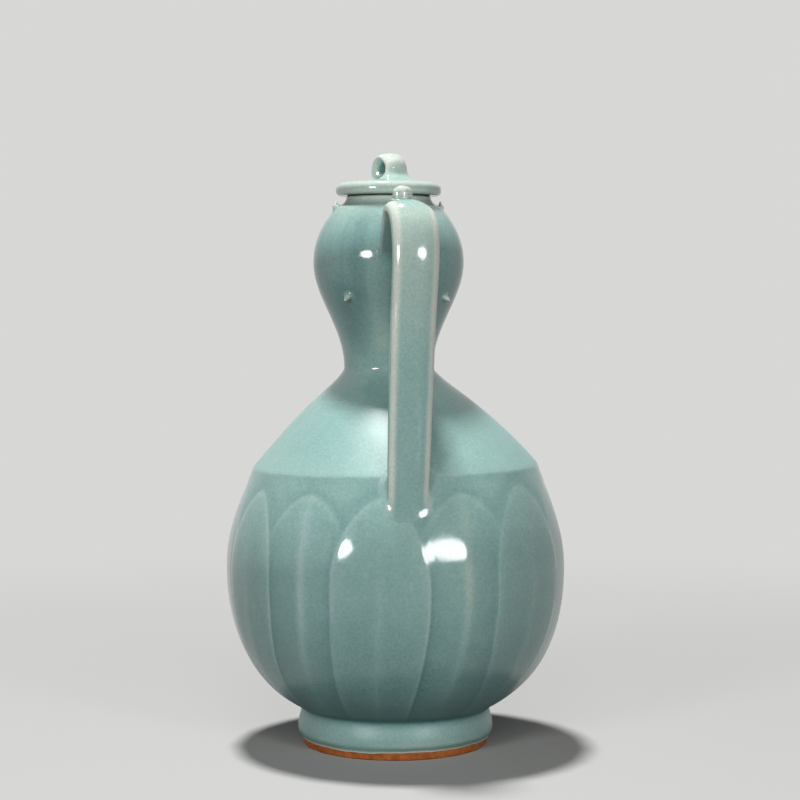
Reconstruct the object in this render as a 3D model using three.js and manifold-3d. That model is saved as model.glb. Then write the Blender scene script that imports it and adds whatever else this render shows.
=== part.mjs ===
// Lidded double-gourd ewer in glazed stoneware: a round belly with a sharp shoulder ridge, a narrow waist,
// a small upper bulb, a strap handle with a cord ring, a spout, and a loose lid with a loop.
// Millimetres, +Z up. The handle stands on the -Y side and the spout on the +Y side.
// The origin is the middle of the space that the ewer takes up on the table.
import * as THREE from 'three';
import { mergeVertices } from 'three/addons/utils/BufferGeometryUtils.js';
import Module from 'manifold-3d';

// Foot ring
const FOOT_REST_RADIUS = 45.8;
const FOOT_SWELL_RADIUS = 48.9;
const FOOT_SWELL_HEIGHT = 8;
const FOOT_WALL = 6.5;
const FOOT_CHAMFER = 1.5;

// Belly: it meets the foot at a crease, swells to its widest and ends at the shoulder ridge
const CREASE_RADIUS = 47;
const CREASE_HEIGHT = 19;
const BASE_INSET = 13;
const BASE_RADIUS = CREASE_RADIUS - BASE_INSET;
const BASE_DROP = 6;
const BASE_HEIGHT = CREASE_HEIGHT - BASE_DROP;
const BASE_WALL = 6;
const BELLY_RADIUS = 84.6;
const BELLY_LOW_RISE = 70.3;
const BELLY_HEIGHT = CREASE_HEIGHT + BELLY_LOW_RISE;
const RIDGE_INSET = 13.4;
const RIDGE_RADIUS = BELLY_RADIUS - RIDGE_INSET;
const BELLY_HIGH_RISE = 50.2;
const RIDGE_HEIGHT = BELLY_HEIGHT + BELLY_HIGH_RISE;
const BELLY_WALL = 5;

// Shoulder: a bowed cone that turns up into the waist
const WAIST_RADIUS = 22.2;
const SHOULDER_RISE = 48.8;
const WAIST_HEIGHT = RIDGE_HEIGHT + SHOULDER_RISE;
const FLARE_WIDTH = 9.6;
const CONE_TOP_RADIUS = WAIST_RADIUS + FLARE_WIDTH;
const FLARE_DROP = 10.1;
const CONE_TOP_HEIGHT = WAIST_HEIGHT - FLARE_DROP;

// Upper bulb
const BULB_RADIUS = 37.5;
const BULB_LOW_RISE = 52.2;
const BULB_HEIGHT = WAIST_HEIGHT + BULB_LOW_RISE;
const BULB_TOP_INSET = 11.2;
const BULB_TOP_RADIUS = BULB_RADIUS - BULB_TOP_INSET;
const BULB_HIGH_RISE = 27.5;
const BULB_TOP_HEIGHT = BULB_HEIGHT + BULB_HIGH_RISE;
const UPPER_WALL = 4.5;

// Mouth collar
const MOUTH_INSET = 5.3;
const MOUTH_RADIUS = BULB_TOP_RADIUS - MOUTH_INSET;
const MOUTH_WALL = 5.4;
const MOUTH_BORE = MOUTH_RADIUS - MOUTH_WALL;
const COLLAR_RISE = 5.6;
const MOUTH_HEIGHT = BULB_TOP_HEIGHT + COLLAR_RISE;
const MOUTH_RIM_ROUND = 1;

// The mouth's bore opens out below this rise above the upper bulb's top
const BORE_FOOT_RISE = 1;

// The upper part was joined on slightly to the -X side
const LEAN = 3.4;

// Directions of the outline at each joint, in degrees above the outward radius
const UPRIGHT = 90;
const RIDGE_RISE = 107;
const CONE_START_RISE = 130;
const CONE_END_RISE = 141;
const BULB_TOP_RISE = 128;
const COLLAR_FOOT_RISE = 150;
const COLLAR_TOP_RISE = 105;
const FOOT_REST_RISE = 70;
const FOOT_TOP_RISE = 96;

// How far each span of the outline keeps the direction of its two ends, as shares of its chord
const BELLY_LOW_FULLNESS = [0.33, 0.46];
const BELLY_HIGH_FULLNESS = [0.47, 0.15];
const CONE_FULLNESS = [0.48, 0.2];
const FLARE_FULLNESS = [0.15, 0.15];
const BULB_LOW_FULLNESS = [0.37, 0.32];
const BULB_HIGH_FULLNESS = [0.42, 0.3];
const COLLAR_FULLNESS = [0.45, 0.4];
const FOOT_FULLNESS = [0.4, 0.4];

// Handle: a strap from the upper bulb, over an arch and down to the shoulder ridge
const HANDLE_WIDTH_TOP = 22.8;
const HANDLE_WIDTH_FOOT = 19;
const HANDLE_THICKNESS = 6.5;
const HANDLE_ROOT_RISE = 4.5;
const HANDLE_ROOT_HEIGHT = BULB_HEIGHT + HANDLE_ROOT_RISE;
const HANDLE_FOOT_DROP = 12.5;
const HANDLE_FOOT_HEIGHT = RIDGE_HEIGHT - HANDLE_FOOT_DROP;
const HANDLE_ARCH_RISE = 1.4;
const HANDLE_ARCH_HEIGHT = BULB_TOP_HEIGHT + HANDLE_ARCH_RISE;
const HANDLE_OVERHANG = 31;
const HANDLE_REACH = BULB_RADIUS + HANDLE_OVERHANG;
const HANDLE_ROOT_X = -2.2;
const HANDLE_TOP_X = 0.2;
const HANDLE_FOOT_X = -4.8;
const HANDLE_ROOT_SINK = 2;

// The handle's arch: share of its reach from the bulb, drop below its top, and share of its way along X
const HANDLE_ARCH = [[0.14, 10, 0], [0.36, 1.8, 0.1], [0.6, 0, 0.4], [0.84, 5.2, 0.85], [0.97, 16, 1]];

// The handle below its arch: shares of the way from the arch to its foot, outwards, down and along X
const HANDLE_DROP = [[0, 0.22, 0.12], [0.06, 0.4, 0.35], [0.3, 0.62, 0.6], [0.8, 0.87, 0.9]];

// Cord ring on the handle's arch
const RING_WIDTH = 9;
const RING_THICKNESS = 2.2;
const RING_SPAN = 7.4;
const RING_HEIGHT = 6.3;
const RING_TURN = 12;
const RING_SHIFT_X = -3.4;

// Arches of the cord ring and the lid's loop: shares of the height and of a leg's distance from the middle
const RING_FRONT = [[0.36, 1.02], [0.76, 0.72]];
const RING_BACK = [[0.72, 0.5], [0.34, 0.84]];
const RING_CROWN = 0.1;
const LOOP_FRONT = [[0.36, 1], [0.68, 0.93]];
const LOOP_BACK = [[0.76, 0], [0.49, 0.7], [0.18, 0.97]];
const LOOP_CROWN = 0.62;
const ARCH_SINK = 2;

// Spout
const SPOUT_ROOT_BELOW_RIDGE = 23.5;
const SPOUT_ROOT_HEIGHT = RIDGE_HEIGHT - SPOUT_ROOT_BELOW_RIDGE;
const SPOUT_TIP_RISE = 11.5;
const SPOUT_TIP_HEIGHT = BULB_HEIGHT + SPOUT_TIP_RISE;
const SPOUT_OVERHANG = 39.4;
const SPOUT_REACH = BELLY_RADIUS + SPOUT_OVERHANG;
const SPOUT_ROOT_RADIUS = 15;
const SPOUT_TIP_RADIUS = 7.4;
const SPOUT_WALL = 3;

// The spout's path: shares of its way outwards and upwards from root to tip
const SPOUT_PATH = [[0.05, 0.04], [0.42, 0.25], [0.56, 0.5], [0.7, 0.76], [1, 1]];
const SPOUT_ROOT_DROP = 0.08;

// Petal tips on the upper bulb
const UPPER_TIPS_LENGTH = 3.6;
const UPPER_TIPS_RADIUS = 2.3;
const LOWER_TIPS_LENGTH = 4;
const LOWER_TIPS_RADIUS = 2.8;
const TIPS_AROUND = 4;
const UPPER_TIPS_DROP = 0.9;
const UPPER_TIPS_HEIGHT = BULB_TOP_HEIGHT - UPPER_TIPS_DROP;
const UPPER_TIPS_TURN = 3;
const UPPER_TIPS_RISE = 94;
const LOWER_TIPS_DROP = 18;
const LOWER_TIPS_HEIGHT = BULB_HEIGHT - LOWER_TIPS_DROP;
const LOWER_TIPS_TURN = -43.5;
const LOWER_TIPS_RISE = -10;
const TIP_FLATNESS = 0.8;
const TIP_SINK = 1;

// Sections of a petal tip: place along it and share of its radius
const TIP_SECTIONS = [[0, 1.2], [0.4, 1], [0.7, 0.62], [0.92, 0.34], [1, 0.12]];

// Lid: plate, locating flange and loop
const LID_OVERHANG = 5.2;
const LID_RADIUS = MOUTH_RADIUS + LID_OVERHANG;
const LID_THICKNESS = 6.8;
const LID_CROWN = 1;

// The lid is widest low down, over a small round, and its top slopes out to there
const LID_EDGE_HEIGHT = 2.3;
const LID_SLOPE = 6;

// The lid's top: shares of its radius and of its crown
const LID_TOP = [[0.6, 0.5], [0.35, 1], [0, 1]];
const FLANGE_DEPTH = 8;
const FLANGE_WALL = 3.2;
const FLANGE_CLEARANCE = 0.7;
const LOOP_WIDTH = 11;
const LOOP_THICKNESS = 3.8;
const LOOP_BACK_THICKNESS = 7.6;
const LOOP_SPAN = 15;
const LOOP_HEIGHT = 14;
const LOOP_FRONT_SHARE = 0.57;
const LOOP_THICKENING = [0.48, 0.8];
const LOOP_TURN = 24;
const LOOP_SHIFT = 1.8;

// Gap kept between pieces that meet on a curved or cut surface
const JOINT_GAP = 0.3;

// A strap's section: a higher power gives flatter faces
const STRAP_POWER = 3.4;

// Facets
const AROUND = 40;
const STRAP_SIDES = 16;
const HANDLE_STEPS = 32;
const LOOP_STEPS = 18;
const SPOUT_SIDES = 16;
const SPOUT_STEPS = 18;
const TIP_SIDES = 8;
const BELLY_STEPS = [10, 6];
const SHOULDER_STEPS = [5, 3];
const BULB_STEPS = [7, 6];
const COLLAR_STEPS = 4;
const FOOT_STEPS = [4, 3];
const LID_RIM_STEPS = 5;

// Closer points than this count as one
const TINY = 0.01;

// Glaze and clay
const GLAZE = 0x7fa9a4;
const CLAY = 0xa5623a;

const wasm = await Module();
wasm.setup();

const radians = THREE.MathUtils.degToRad;

// Outline spans, each a curve between two (radius, height) points with a direction at each end

function heading(degrees) {
  return new THREE.Vector2(Math.cos(radians(degrees)), Math.sin(radians(degrees)));
}

function span(start, startRise, end, endRise, fullness, steps) {
  const chord = start.distanceTo(end);
  const curve = new THREE.CubicBezierCurve(
    start,
    start.clone().addScaledVector(heading(startRise), fullness[0] * chord),
    end.clone().addScaledVector(heading(endRise), -fullness[1] * chord),
    end,
  );
  return curve.getPoints(steps);
}

function joined(...spans) {
  const points = [...spans[0]];
  for (const next of spans.slice(1)) {
    points.push(...next.slice(1));
  }
  return points;
}

// The outline grown outwards, or drawn inwards with a negative amount
function offset(points, amount) {
  return points.map((point, i) => {
    const before = points[Math.max(i - 1, 0)];
    const after = points[Math.min(i + 1, points.length - 1)];
    const along = after.clone().sub(before).normalize();
    return new THREE.Vector2(point.x + along.y * amount, point.y - along.x * amount);
  });
}

function radiusAt(points, height) {
  for (let i = 1; i < points.length; i += 1) {
    const [low, high] = [points[i - 1], points[i]];
    if (high.y >= height) {
      const share = (height - low.y) / (high.y - low.y);
      return THREE.MathUtils.lerp(low.x, high.x, share);
    }
  }
  return points[points.length - 1].x;
}

// The part of an outline between two heights
function between(points, low, high) {
  const inside = points.filter((point) => point.y > low + TINY && point.y < high - TINY);
  const first = new THREE.Vector2(radiusAt(points, low), low);
  const last = new THREE.Vector2(radiusAt(points, high), high);
  return [first, ...inside, last];
}

const crease = new THREE.Vector2(CREASE_RADIUS, CREASE_HEIGHT);
const base = new THREE.Vector2(BASE_RADIUS, BASE_HEIGHT);
const belly = new THREE.Vector2(BELLY_RADIUS, BELLY_HEIGHT);
const ridge = new THREE.Vector2(RIDGE_RADIUS, RIDGE_HEIGHT);
const coneTop = new THREE.Vector2(CONE_TOP_RADIUS, CONE_TOP_HEIGHT);
const waist = new THREE.Vector2(WAIST_RADIUS, WAIST_HEIGHT);
const bulb = new THREE.Vector2(BULB_RADIUS, BULB_HEIGHT);
const bulbTop = new THREE.Vector2(BULB_TOP_RADIUS, BULB_TOP_HEIGHT);
const creaseRise = THREE.MathUtils.radToDeg(crease.clone().sub(base).angle());

const bellyOutline = joined(
  span(crease, creaseRise, belly, UPRIGHT, BELLY_LOW_FULLNESS, BELLY_STEPS[0]),
  span(belly, UPRIGHT, ridge, RIDGE_RISE, BELLY_HIGH_FULLNESS, BELLY_STEPS[1]),
);
const shoulderOutline = joined(
  span(ridge, CONE_START_RISE, coneTop, CONE_END_RISE, CONE_FULLNESS, SHOULDER_STEPS[0]),
  span(coneTop, CONE_END_RISE, waist, UPRIGHT, FLARE_FULLNESS, SHOULDER_STEPS[1]),
);
const bulbOutline = joined(
  span(waist, UPRIGHT, bulb, UPRIGHT, BULB_LOW_FULLNESS, BULB_STEPS[0]),
  span(bulb, UPRIGHT, bulbTop, BULB_TOP_RISE, BULB_HIGH_FULLNESS, BULB_STEPS[1]),
);
const outline = joined(bellyOutline, shoulderOutline, bulbOutline);

// The upper part's shift to the side grows over the shoulder and stays above the waist
function leanAt(height) {
  const share = THREE.MathUtils.clamp((height - RIDGE_HEIGHT) / (WAIST_HEIGHT - RIDGE_HEIGHT), 0, 1);
  return -LEAN * share * share;
}

// Solids

function toSolid(geometry) {
  const bare = geometry.clone();
  bare.deleteAttribute('normal');
  bare.deleteAttribute('uv');
  const merged = mergeVertices(bare);
  const corners = merged.index.array;
  const triangles = [];
  for (let i = 0; i < corners.length; i += 3) {
    const [a, b, c] = corners.slice(i, i + 3);
    if (a !== b && b !== c && c !== a) {
      triangles.push(a, b, c);
    }
  }
  return new wasm.Manifold(new wasm.Mesh({
    numProp: 3,
    vertProperties: new Float32Array(merged.attributes.position.array),
    triVerts: new Uint32Array(triangles),
  }));
}

function toGeometry(solid) {
  const mesh = solid.getMesh();
  const geometry = new THREE.BufferGeometry();
  geometry.setAttribute('position', new THREE.BufferAttribute(mesh.vertProperties, 3));
  geometry.setIndex(new THREE.BufferAttribute(mesh.triVerts, 1));
  geometry.computeVertexNormals();
  return geometry;
}

// A closed outline turned about the ewer's leaning axis
function turned(points, segments = AROUND) {
  const geometry = new THREE.LatheGeometry(points, segments);
  geometry.rotateX(Math.PI / 2);
  const position = geometry.attributes.position;
  for (let i = 0; i < position.count; i += 1) {
    position.setX(i, position.getX(i) + leanAt(position.getZ(i)));
  }
  return toSolid(geometry);
}

function closed(points) {
  return [...points, points[0].clone()];
}

// A shell between an outline and the same outline drawn in by the wall, cut level at both heights
function shell(points, wall, low, high) {
  const inner = offset(points, -wall);
  return turned(closed([...between(points, low, high), ...between(inner, low, high).reverse()]));
}

// A closed skin over rings of points, with a flat cap on each end
function loft(rings) {
  const around = rings[0].length;
  const positions = rings.flat().flatMap((point) => point.toArray());
  const index = [];
  for (let row = 0; row < rings.length - 1; row += 1) {
    for (let i = 0; i < around; i += 1) {
      const a = row * around + i;
      const b = row * around + ((i + 1) % around);
      index.push(a, b + around, b, a, a + around, b + around);
    }
  }
  const last = (rings.length - 1) * around;
  for (let i = 1; i < around - 1; i += 1) {
    index.push(0, i, i + 1);
    index.push(last, last + i + 1, last + i);
  }
  const geometry = new THREE.BufferGeometry();
  geometry.setAttribute('position', new THREE.Float32BufferAttribute(positions, 3));
  geometry.setIndex(index);
  return toSolid(geometry);
}

// A ring of points about one place on a curve; shape gives (across, out) for an angle
function ringOn(curve, place, across, sides, shape) {
  const centre = curve.getPointAt(place);
  const along = curve.getTangentAt(place);
  const out = new THREE.Vector3().crossVectors(across, along).normalize();
  const side = new THREE.Vector3().crossVectors(along, out).normalize();
  const ring = [];
  for (let i = 0; i < sides; i += 1) {
    const [a, b] = shape((i / sides) * 2 * Math.PI);
    ring.push(centre.clone().addScaledVector(side, a).addScaledVector(out, b));
  }
  return ring;
}

// A strap's section: nearly flat faces and full round edges
function strapShape(width, thickness) {
  const bowed = (value) => Math.sign(value) * Math.abs(value) ** (2 / STRAP_POWER);
  return (angle) => [(width / 2) * bowed(Math.cos(angle)), (thickness / 2) * bowed(Math.sin(angle))];
}

// A strap along a curve; widthAt and thicknessAt give its size at a place from 0 to 1
function strap(curve, across, widthAt, thicknessAt, steps, grown = 0) {
  const rings = [];
  for (let i = 0; i <= steps; i += 1) {
    const place = i / steps;
    const shape = strapShape(widthAt(place) + 2 * grown, thicknessAt(place) + 2 * grown);
    rings.push(ringOn(curve, place, across, STRAP_SIDES, shape));
  }
  return loft(rings);
}

function tube(curve, across, radiusAlong, steps) {
  const rings = [];
  for (let i = 0; i <= steps; i += 1) {
    const radius = radiusAlong(i / steps);
    const shape = (angle) => [radius * Math.cos(angle), radius * Math.sin(angle)];
    rings.push(ringOn(curve, i / steps, across, SPOUT_SIDES, shape));
  }
  return loft(rings);
}

// The whole outside of the ewer's body as one filled form, a joint gap larger all round
function grownBody() {
  const skin = offset(outline, JOINT_GAP);
  const floor = new THREE.Vector2(0, BASE_HEIGHT);
  const foot = new THREE.Vector2(CREASE_RADIUS, BASE_HEIGHT);
  const roof = new THREE.Vector2(0, skin[skin.length - 1].y);
  return turned([floor, foot, ...skin.slice(1), roof]);
}

const body = grownBody();

// Foot ring: swollen outside, with its top sloped to the belly's underside
function footRing() {
  const slope = (CREASE_HEIGHT - BASE_HEIGHT) / (CREASE_RADIUS - BASE_RADIUS);
  const top = (radius) => CREASE_HEIGHT + slope * (radius - CREASE_RADIUS) - JOINT_GAP;
  const inside = FOOT_REST_RADIUS - FOOT_WALL;
  const swell = new THREE.Vector2(FOOT_SWELL_RADIUS, FOOT_SWELL_HEIGHT);
  const outerLow = new THREE.Vector2(FOOT_REST_RADIUS, 0);
  const outerHigh = new THREE.Vector2(CREASE_RADIUS, top(CREASE_RADIUS));
  const outside = joined(
    span(outerLow, FOOT_REST_RISE, swell, UPRIGHT, FOOT_FULLNESS, FOOT_STEPS[0]),
    span(swell, UPRIGHT, outerHigh, FOOT_TOP_RISE, FOOT_FULLNESS, FOOT_STEPS[1]),
  );
  const wallInside = inside - FOOT_CHAMFER / 2;
  return turned(closed([
    ...outside,
    new THREE.Vector2(wallInside, top(wallInside)),
    new THREE.Vector2(wallInside, FOOT_CHAMFER),
    new THREE.Vector2(inside, 0),
  ]));
}

// Belly: a bowl from its flat base up to the level joint at the ridge, with the spout's hole
function bellyBowl() {
  const inner = offset(bellyOutline, -BELLY_WALL);
  const floorHeight = BASE_HEIGHT + BASE_WALL;
  const innerWall = between(inner, floorHeight + BELLY_WALL, RIDGE_HEIGHT);
  const bowl = turned([
    new THREE.Vector2(0, BASE_HEIGHT),
    base,
    ...bellyOutline,
    ...innerWall.reverse(),
    new THREE.Vector2(BASE_RADIUS, floorHeight),
    new THREE.Vector2(0, floorHeight),
  ]);
  return bowl.subtract(spoutBore());
}

// Mouth collar: a short concave neck with a rounded rim
function mouthCollar() {
  const rimLow = new THREE.Vector2(MOUTH_RADIUS, MOUTH_HEIGHT - MOUTH_RIM_ROUND);
  const rimCut = MOUTH_RIM_ROUND * (1 - Math.SQRT1_2);
  const innerFoot = BULB_TOP_RADIUS - UPPER_WALL / Math.sin(radians(BULB_TOP_RISE));
  return turned(closed([
    ...span(bulbTop, COLLAR_FOOT_RISE, rimLow, COLLAR_TOP_RISE, COLLAR_FULLNESS, COLLAR_STEPS),
    new THREE.Vector2(MOUTH_RADIUS - rimCut, MOUTH_HEIGHT - rimCut),
    new THREE.Vector2(MOUTH_RADIUS - MOUTH_RIM_ROUND, MOUTH_HEIGHT),
    new THREE.Vector2(MOUTH_BORE + MOUTH_RIM_ROUND, MOUTH_HEIGHT),
    new THREE.Vector2(MOUTH_BORE, MOUTH_HEIGHT - MOUTH_RIM_ROUND),
    new THREE.Vector2(MOUTH_BORE, BULB_TOP_HEIGHT + BORE_FOOT_RISE),
    new THREE.Vector2(innerFoot, BULB_TOP_HEIGHT),
  ]));
}

// Spout: an S-curve in the plane of the handle, from the belly out to a tip level with the upper bulb
const spoutX = leanAt(WAIST_HEIGHT);

function spoutCurve() {
  const root = radiusAt(outline, SPOUT_ROOT_HEIGHT);
  const rise = SPOUT_TIP_HEIGHT - SPOUT_ROOT_HEIGHT;
  const run = SPOUT_REACH - SPOUT_TIP_RADIUS - root;
  const start = SPOUT_ROOT_HEIGHT - SPOUT_ROOT_DROP * rise;
  const points = [new THREE.Vector3(spoutX, root - SPOUT_ROOT_RADIUS, start)];
  for (const [out, up] of SPOUT_PATH) {
    points.push(new THREE.Vector3(spoutX, root + out * run, SPOUT_ROOT_HEIGHT + up * rise));
  }
  return new THREE.CatmullRomCurve3(points);
}

const spoutPath = spoutCurve();
const sideways = new THREE.Vector3(1, 0, 0);

function spoutRadius(place) {
  const narrowing = 1 - (1 - place) ** 2;
  return THREE.MathUtils.lerp(SPOUT_ROOT_RADIUS, SPOUT_TIP_RADIUS, narrowing);
}

function spoutBore() {
  return tube(spoutPath, sideways, (place) => spoutRadius(place) - SPOUT_WALL, SPOUT_STEPS);
}

function spout() {
  const start = spoutPath.getPointAt(0);
  const end = spoutPath.getPointAt(1);
  const before = start.clone().addScaledVector(spoutPath.getTangentAt(0), -1);
  const beyond = end.clone().addScaledVector(spoutPath.getTangentAt(1), 1);
  const bore = spoutBore();
  const through = loft([
    ringAround(end, spoutPath.getTangentAt(1), SPOUT_TIP_RADIUS - SPOUT_WALL),
    ringAround(beyond, spoutPath.getTangentAt(1), SPOUT_TIP_RADIUS - SPOUT_WALL),
  ]);
  const within = loft([
    ringAround(before, spoutPath.getTangentAt(0), SPOUT_ROOT_RADIUS - SPOUT_WALL),
    ringAround(start, spoutPath.getTangentAt(0), SPOUT_ROOT_RADIUS - SPOUT_WALL),
  ]);
  const outside = tube(spoutPath, sideways, spoutRadius, SPOUT_STEPS);
  return outside.subtract(bore).subtract(through).subtract(within).subtract(body);
}

function ringAround(centre, along, radius) {
  const out = new THREE.Vector3().crossVectors(sideways, along).normalize();
  const ring = [];
  for (let i = 0; i < SPOUT_SIDES; i += 1) {
    const angle = (i / SPOUT_SIDES) * 2 * Math.PI;
    ring.push(centre.clone()
      .addScaledVector(sideways, radius * Math.cos(angle))
      .addScaledVector(out, radius * Math.sin(angle)));
  }
  return ring;
}

// Handle
function handleCurve() {
  const root = radiusAt(outline, HANDLE_ROOT_HEIGHT);
  const foot = radiusAt(outline, HANDLE_FOOT_HEIGHT);
  const top = HANDLE_ARCH_HEIGHT - HANDLE_THICKNESS / 2;
  const arch = HANDLE_REACH - root;
  const low = foot - HANDLE_THICKNESS / 2;
  const lerp = THREE.MathUtils.lerp;
  const points = [new THREE.Vector3(HANDLE_ROOT_X, HANDLE_ROOT_SINK - root, HANDLE_ROOT_HEIGHT)];
  for (const [reach, drop, aside] of HANDLE_ARCH) {
    const x = lerp(HANDLE_ROOT_X, HANDLE_TOP_X, aside);
    points.push(new THREE.Vector3(x, -(root + reach * arch), top - drop));
  }
  for (const [out, down, aside] of HANDLE_DROP) {
    const x = lerp(HANDLE_TOP_X, HANDLE_FOOT_X, aside);
    points.push(new THREE.Vector3(x, -lerp(HANDLE_REACH, low, out), lerp(top, HANDLE_FOOT_HEIGHT, down)));
  }
  points.push(new THREE.Vector3(HANDLE_FOOT_X, -low, HANDLE_FOOT_HEIGHT));
  return new THREE.CatmullRomCurve3(points);
}

const handlePath = handleCurve();

// The handle narrows towards its foot, most of all at the end
function handleWidth(place) {
  return THREE.MathUtils.lerp(HANDLE_WIDTH_TOP, HANDLE_WIDTH_FOOT, place * place);
}

function handleForm(grown) {
  return strap(handlePath, sideways, handleWidth, () => HANDLE_THICKNESS, HANDLE_STEPS, grown);
}

function handleStrap() {
  return handleForm(0).subtract(body);
}

// A strap bent over an arch, standing on its two legs in its own frame, with its hole along X
function archStrap(width, thicknessAt, [front, frontShape], [back, backShape], height, crown) {
  const curve = new THREE.CatmullRomCurve3([
    new THREE.Vector3(0, -front, -ARCH_SINK),
    ...frontShape.map(([up, out]) => new THREE.Vector3(0, -front * out, height * up)),
    new THREE.Vector3(0, -front * crown, height - thicknessAt(0.5) / 2),
    ...backShape.map(([up, out]) => new THREE.Vector3(0, back * out, height * up)),
    new THREE.Vector3(0, back, -ARCH_SINK),
  ]);
  return strap(curve, sideways, () => width, thicknessAt, LOOP_STEPS);
}

// Cord ring: it stands on the highest place of the handle's arch
function handleRing() {
  const crown = handlePath.getSpacedPoints(HANDLE_STEPS).reduce((a, b) => (b.z > a.z ? b : a));
  const half = (RING_SPAN - RING_THICKNESS) / 2;
  const legs = [[half, RING_FRONT], [half, RING_BACK]];
  const ring = archStrap(RING_WIDTH, () => RING_THICKNESS, ...legs, RING_HEIGHT, RING_CROWN);
  return ring
    .rotate([0, 0, RING_TURN])
    .translate([crown.x + RING_SHIFT_X, crown.y, HANDLE_ARCH_HEIGHT])
    .subtract(handleForm(JOINT_GAP));
}

const collar = mouthCollar();

// Petal tip: a small curled point that stands on the bulb at one height and turn
function petalTip(turn, height, rise, length, size) {
  const radius = radiusAt(outline, height);
  const out = heading(rise).multiplyScalar(length);
  const curve = new THREE.QuadraticBezierCurve3(
    new THREE.Vector3(0, -size, -TIP_SINK),
    new THREE.Vector3(0, out.x / 2, (out.y - TIP_SINK) / 2),
    new THREE.Vector3(0, out.x, out.y),
  );
  const rings = [];
  for (const [place, share] of TIP_SECTIONS) {
    const [wide, thick] = [size * share, size * TIP_FLATNESS * share];
    const shape = (angle) => [wide * Math.cos(angle), thick * Math.sin(angle)];
    rings.push(ringOn(curve, place, sideways, TIP_SIDES, shape));
  }
  return loft(rings)
    .translate([0, radius, height])
    .rotate([0, 0, turn + 180])
    .translate([leanAt(height), 0, 0])
    .subtract(body)
    .subtract(collar);
}

// Lid, in its own frame with its seat at the origin

function lidPlate() {
  const points = [new THREE.Vector2(0, 0)];
  for (let i = 0; i <= LID_RIM_STEPS; i += 1) {
    const way = heading(UPRIGHT * (i / LID_RIM_STEPS - 1)).multiplyScalar(LID_EDGE_HEIGHT);
    points.push(new THREE.Vector2(LID_RADIUS - LID_EDGE_HEIGHT + way.x, LID_EDGE_HEIGHT + way.y));
  }
  for (let i = 1; i <= LID_RIM_STEPS; i += 1) {
    const way = heading((UPRIGHT * i) / LID_RIM_STEPS);
    const up = (LID_THICKNESS - LID_EDGE_HEIGHT) * way.y;
    points.push(new THREE.Vector2(LID_RADIUS - LID_SLOPE * (1 - way.x), LID_EDGE_HEIGHT + up));
  }
  for (const [out, up] of LID_TOP) {
    points.push(new THREE.Vector2(LID_RADIUS * out, LID_THICKNESS + LID_CROWN * up));
  }
  const geometry = new THREE.LatheGeometry(points, AROUND);
  geometry.rotateX(Math.PI / 2);
  return toSolid(geometry);
}

function lidFlange() {
  const outside = MOUTH_BORE - FLANGE_CLEARANCE;
  const inside = outside - FLANGE_WALL;
  const chamfer = FLANGE_WALL / 4;
  const geometry = new THREE.LatheGeometry(closed([
    new THREE.Vector2(inside, -FLANGE_DEPTH),
    new THREE.Vector2(outside - chamfer, -FLANGE_DEPTH),
    new THREE.Vector2(outside, -FLANGE_DEPTH + chamfer),
    new THREE.Vector2(outside, 0),
    new THREE.Vector2(inside, 0),
  ]), AROUND);
  geometry.rotateX(Math.PI / 2);
  return toSolid(geometry);
}

// The loop's back leg is thicker than its front leg
function loopThickness(place) {
  const share = THREE.MathUtils.smoothstep(place, ...LOOP_THICKENING);
  return THREE.MathUtils.lerp(LOOP_THICKNESS, LOOP_BACK_THICKNESS, share);
}

function lidLoop() {
  const top = LID_THICKNESS + LID_CROWN;
  const between = LOOP_SPAN - (LOOP_THICKNESS + LOOP_BACK_THICKNESS) / 2;
  const front = between * LOOP_FRONT_SHARE;
  const legs = [[front, LOOP_FRONT], [between - front, LOOP_BACK]];
  const loop = archStrap(LOOP_WIDTH, loopThickness, ...legs, LOOP_HEIGHT, LOOP_CROWN);
  const turn = radians(LOOP_TURN);
  return loop
    .rotate([0, 0, LOOP_TURN])
    .translate([LOOP_SHIFT * Math.cos(turn), LOOP_SHIFT * Math.sin(turn), top])
    .subtract(lidPlate().translate([0, 0, JOINT_GAP]));
}

// Assembly

function material(color, roughness) {
  return new THREE.MeshStandardMaterial({ color, roughness, metalness: 0 });
}

const glaze = material(GLAZE, 0.2);
const clay = material(CLAY, 0.8);

function piece(name, solid, finish = glaze) {
  const mesh = new THREE.Mesh(toGeometry(solid), finish.clone());
  mesh.name = name;
  return mesh;
}

const ewer = new THREE.Group();
ewer.add(piece('foot_ring', footRing()));
ewer.add(piece('belly', bellyBowl()));
ewer.add(piece('shoulder', shell(shoulderOutline, BELLY_WALL, RIDGE_HEIGHT, WAIST_HEIGHT)));
ewer.add(piece('upper_bulb', shell(bulbOutline, UPPER_WALL, WAIST_HEIGHT, BULB_TOP_HEIGHT)));
ewer.add(piece('mouth_collar', collar));
ewer.add(piece('spout', spout()));
ewer.add(piece('handle_strap', handleStrap()));
ewer.add(piece('handle_ring', handleRing()));

for (let i = 0; i < TIPS_AROUND; i += 1) {
  const turn = (360 / TIPS_AROUND) * i;
  const upperPlace = [UPPER_TIPS_TURN + turn, UPPER_TIPS_HEIGHT, UPPER_TIPS_RISE];
  const lowerPlace = [LOWER_TIPS_TURN + turn, LOWER_TIPS_HEIGHT, LOWER_TIPS_RISE];
  const upper = petalTip(...upperPlace, UPPER_TIPS_LENGTH, UPPER_TIPS_RADIUS);
  const lower = petalTip(...lowerPlace, LOWER_TIPS_LENGTH, LOWER_TIPS_RADIUS);
  ewer.add(piece(`upper_petal_tip_${i + 1}`, upper));
  ewer.add(piece(`lower_petal_tip_${i + 1}`, lower));
}

const lid = new THREE.Group();
lid.add(piece('lid_plate', lidPlate()));
lid.add(piece('lid_flange', lidFlange(), clay));
lid.add(piece('lid_loop', lidLoop()));
lid.position.set(leanAt(MOUTH_HEIGHT), 0, MOUTH_HEIGHT);
ewer.add(lid);

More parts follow.
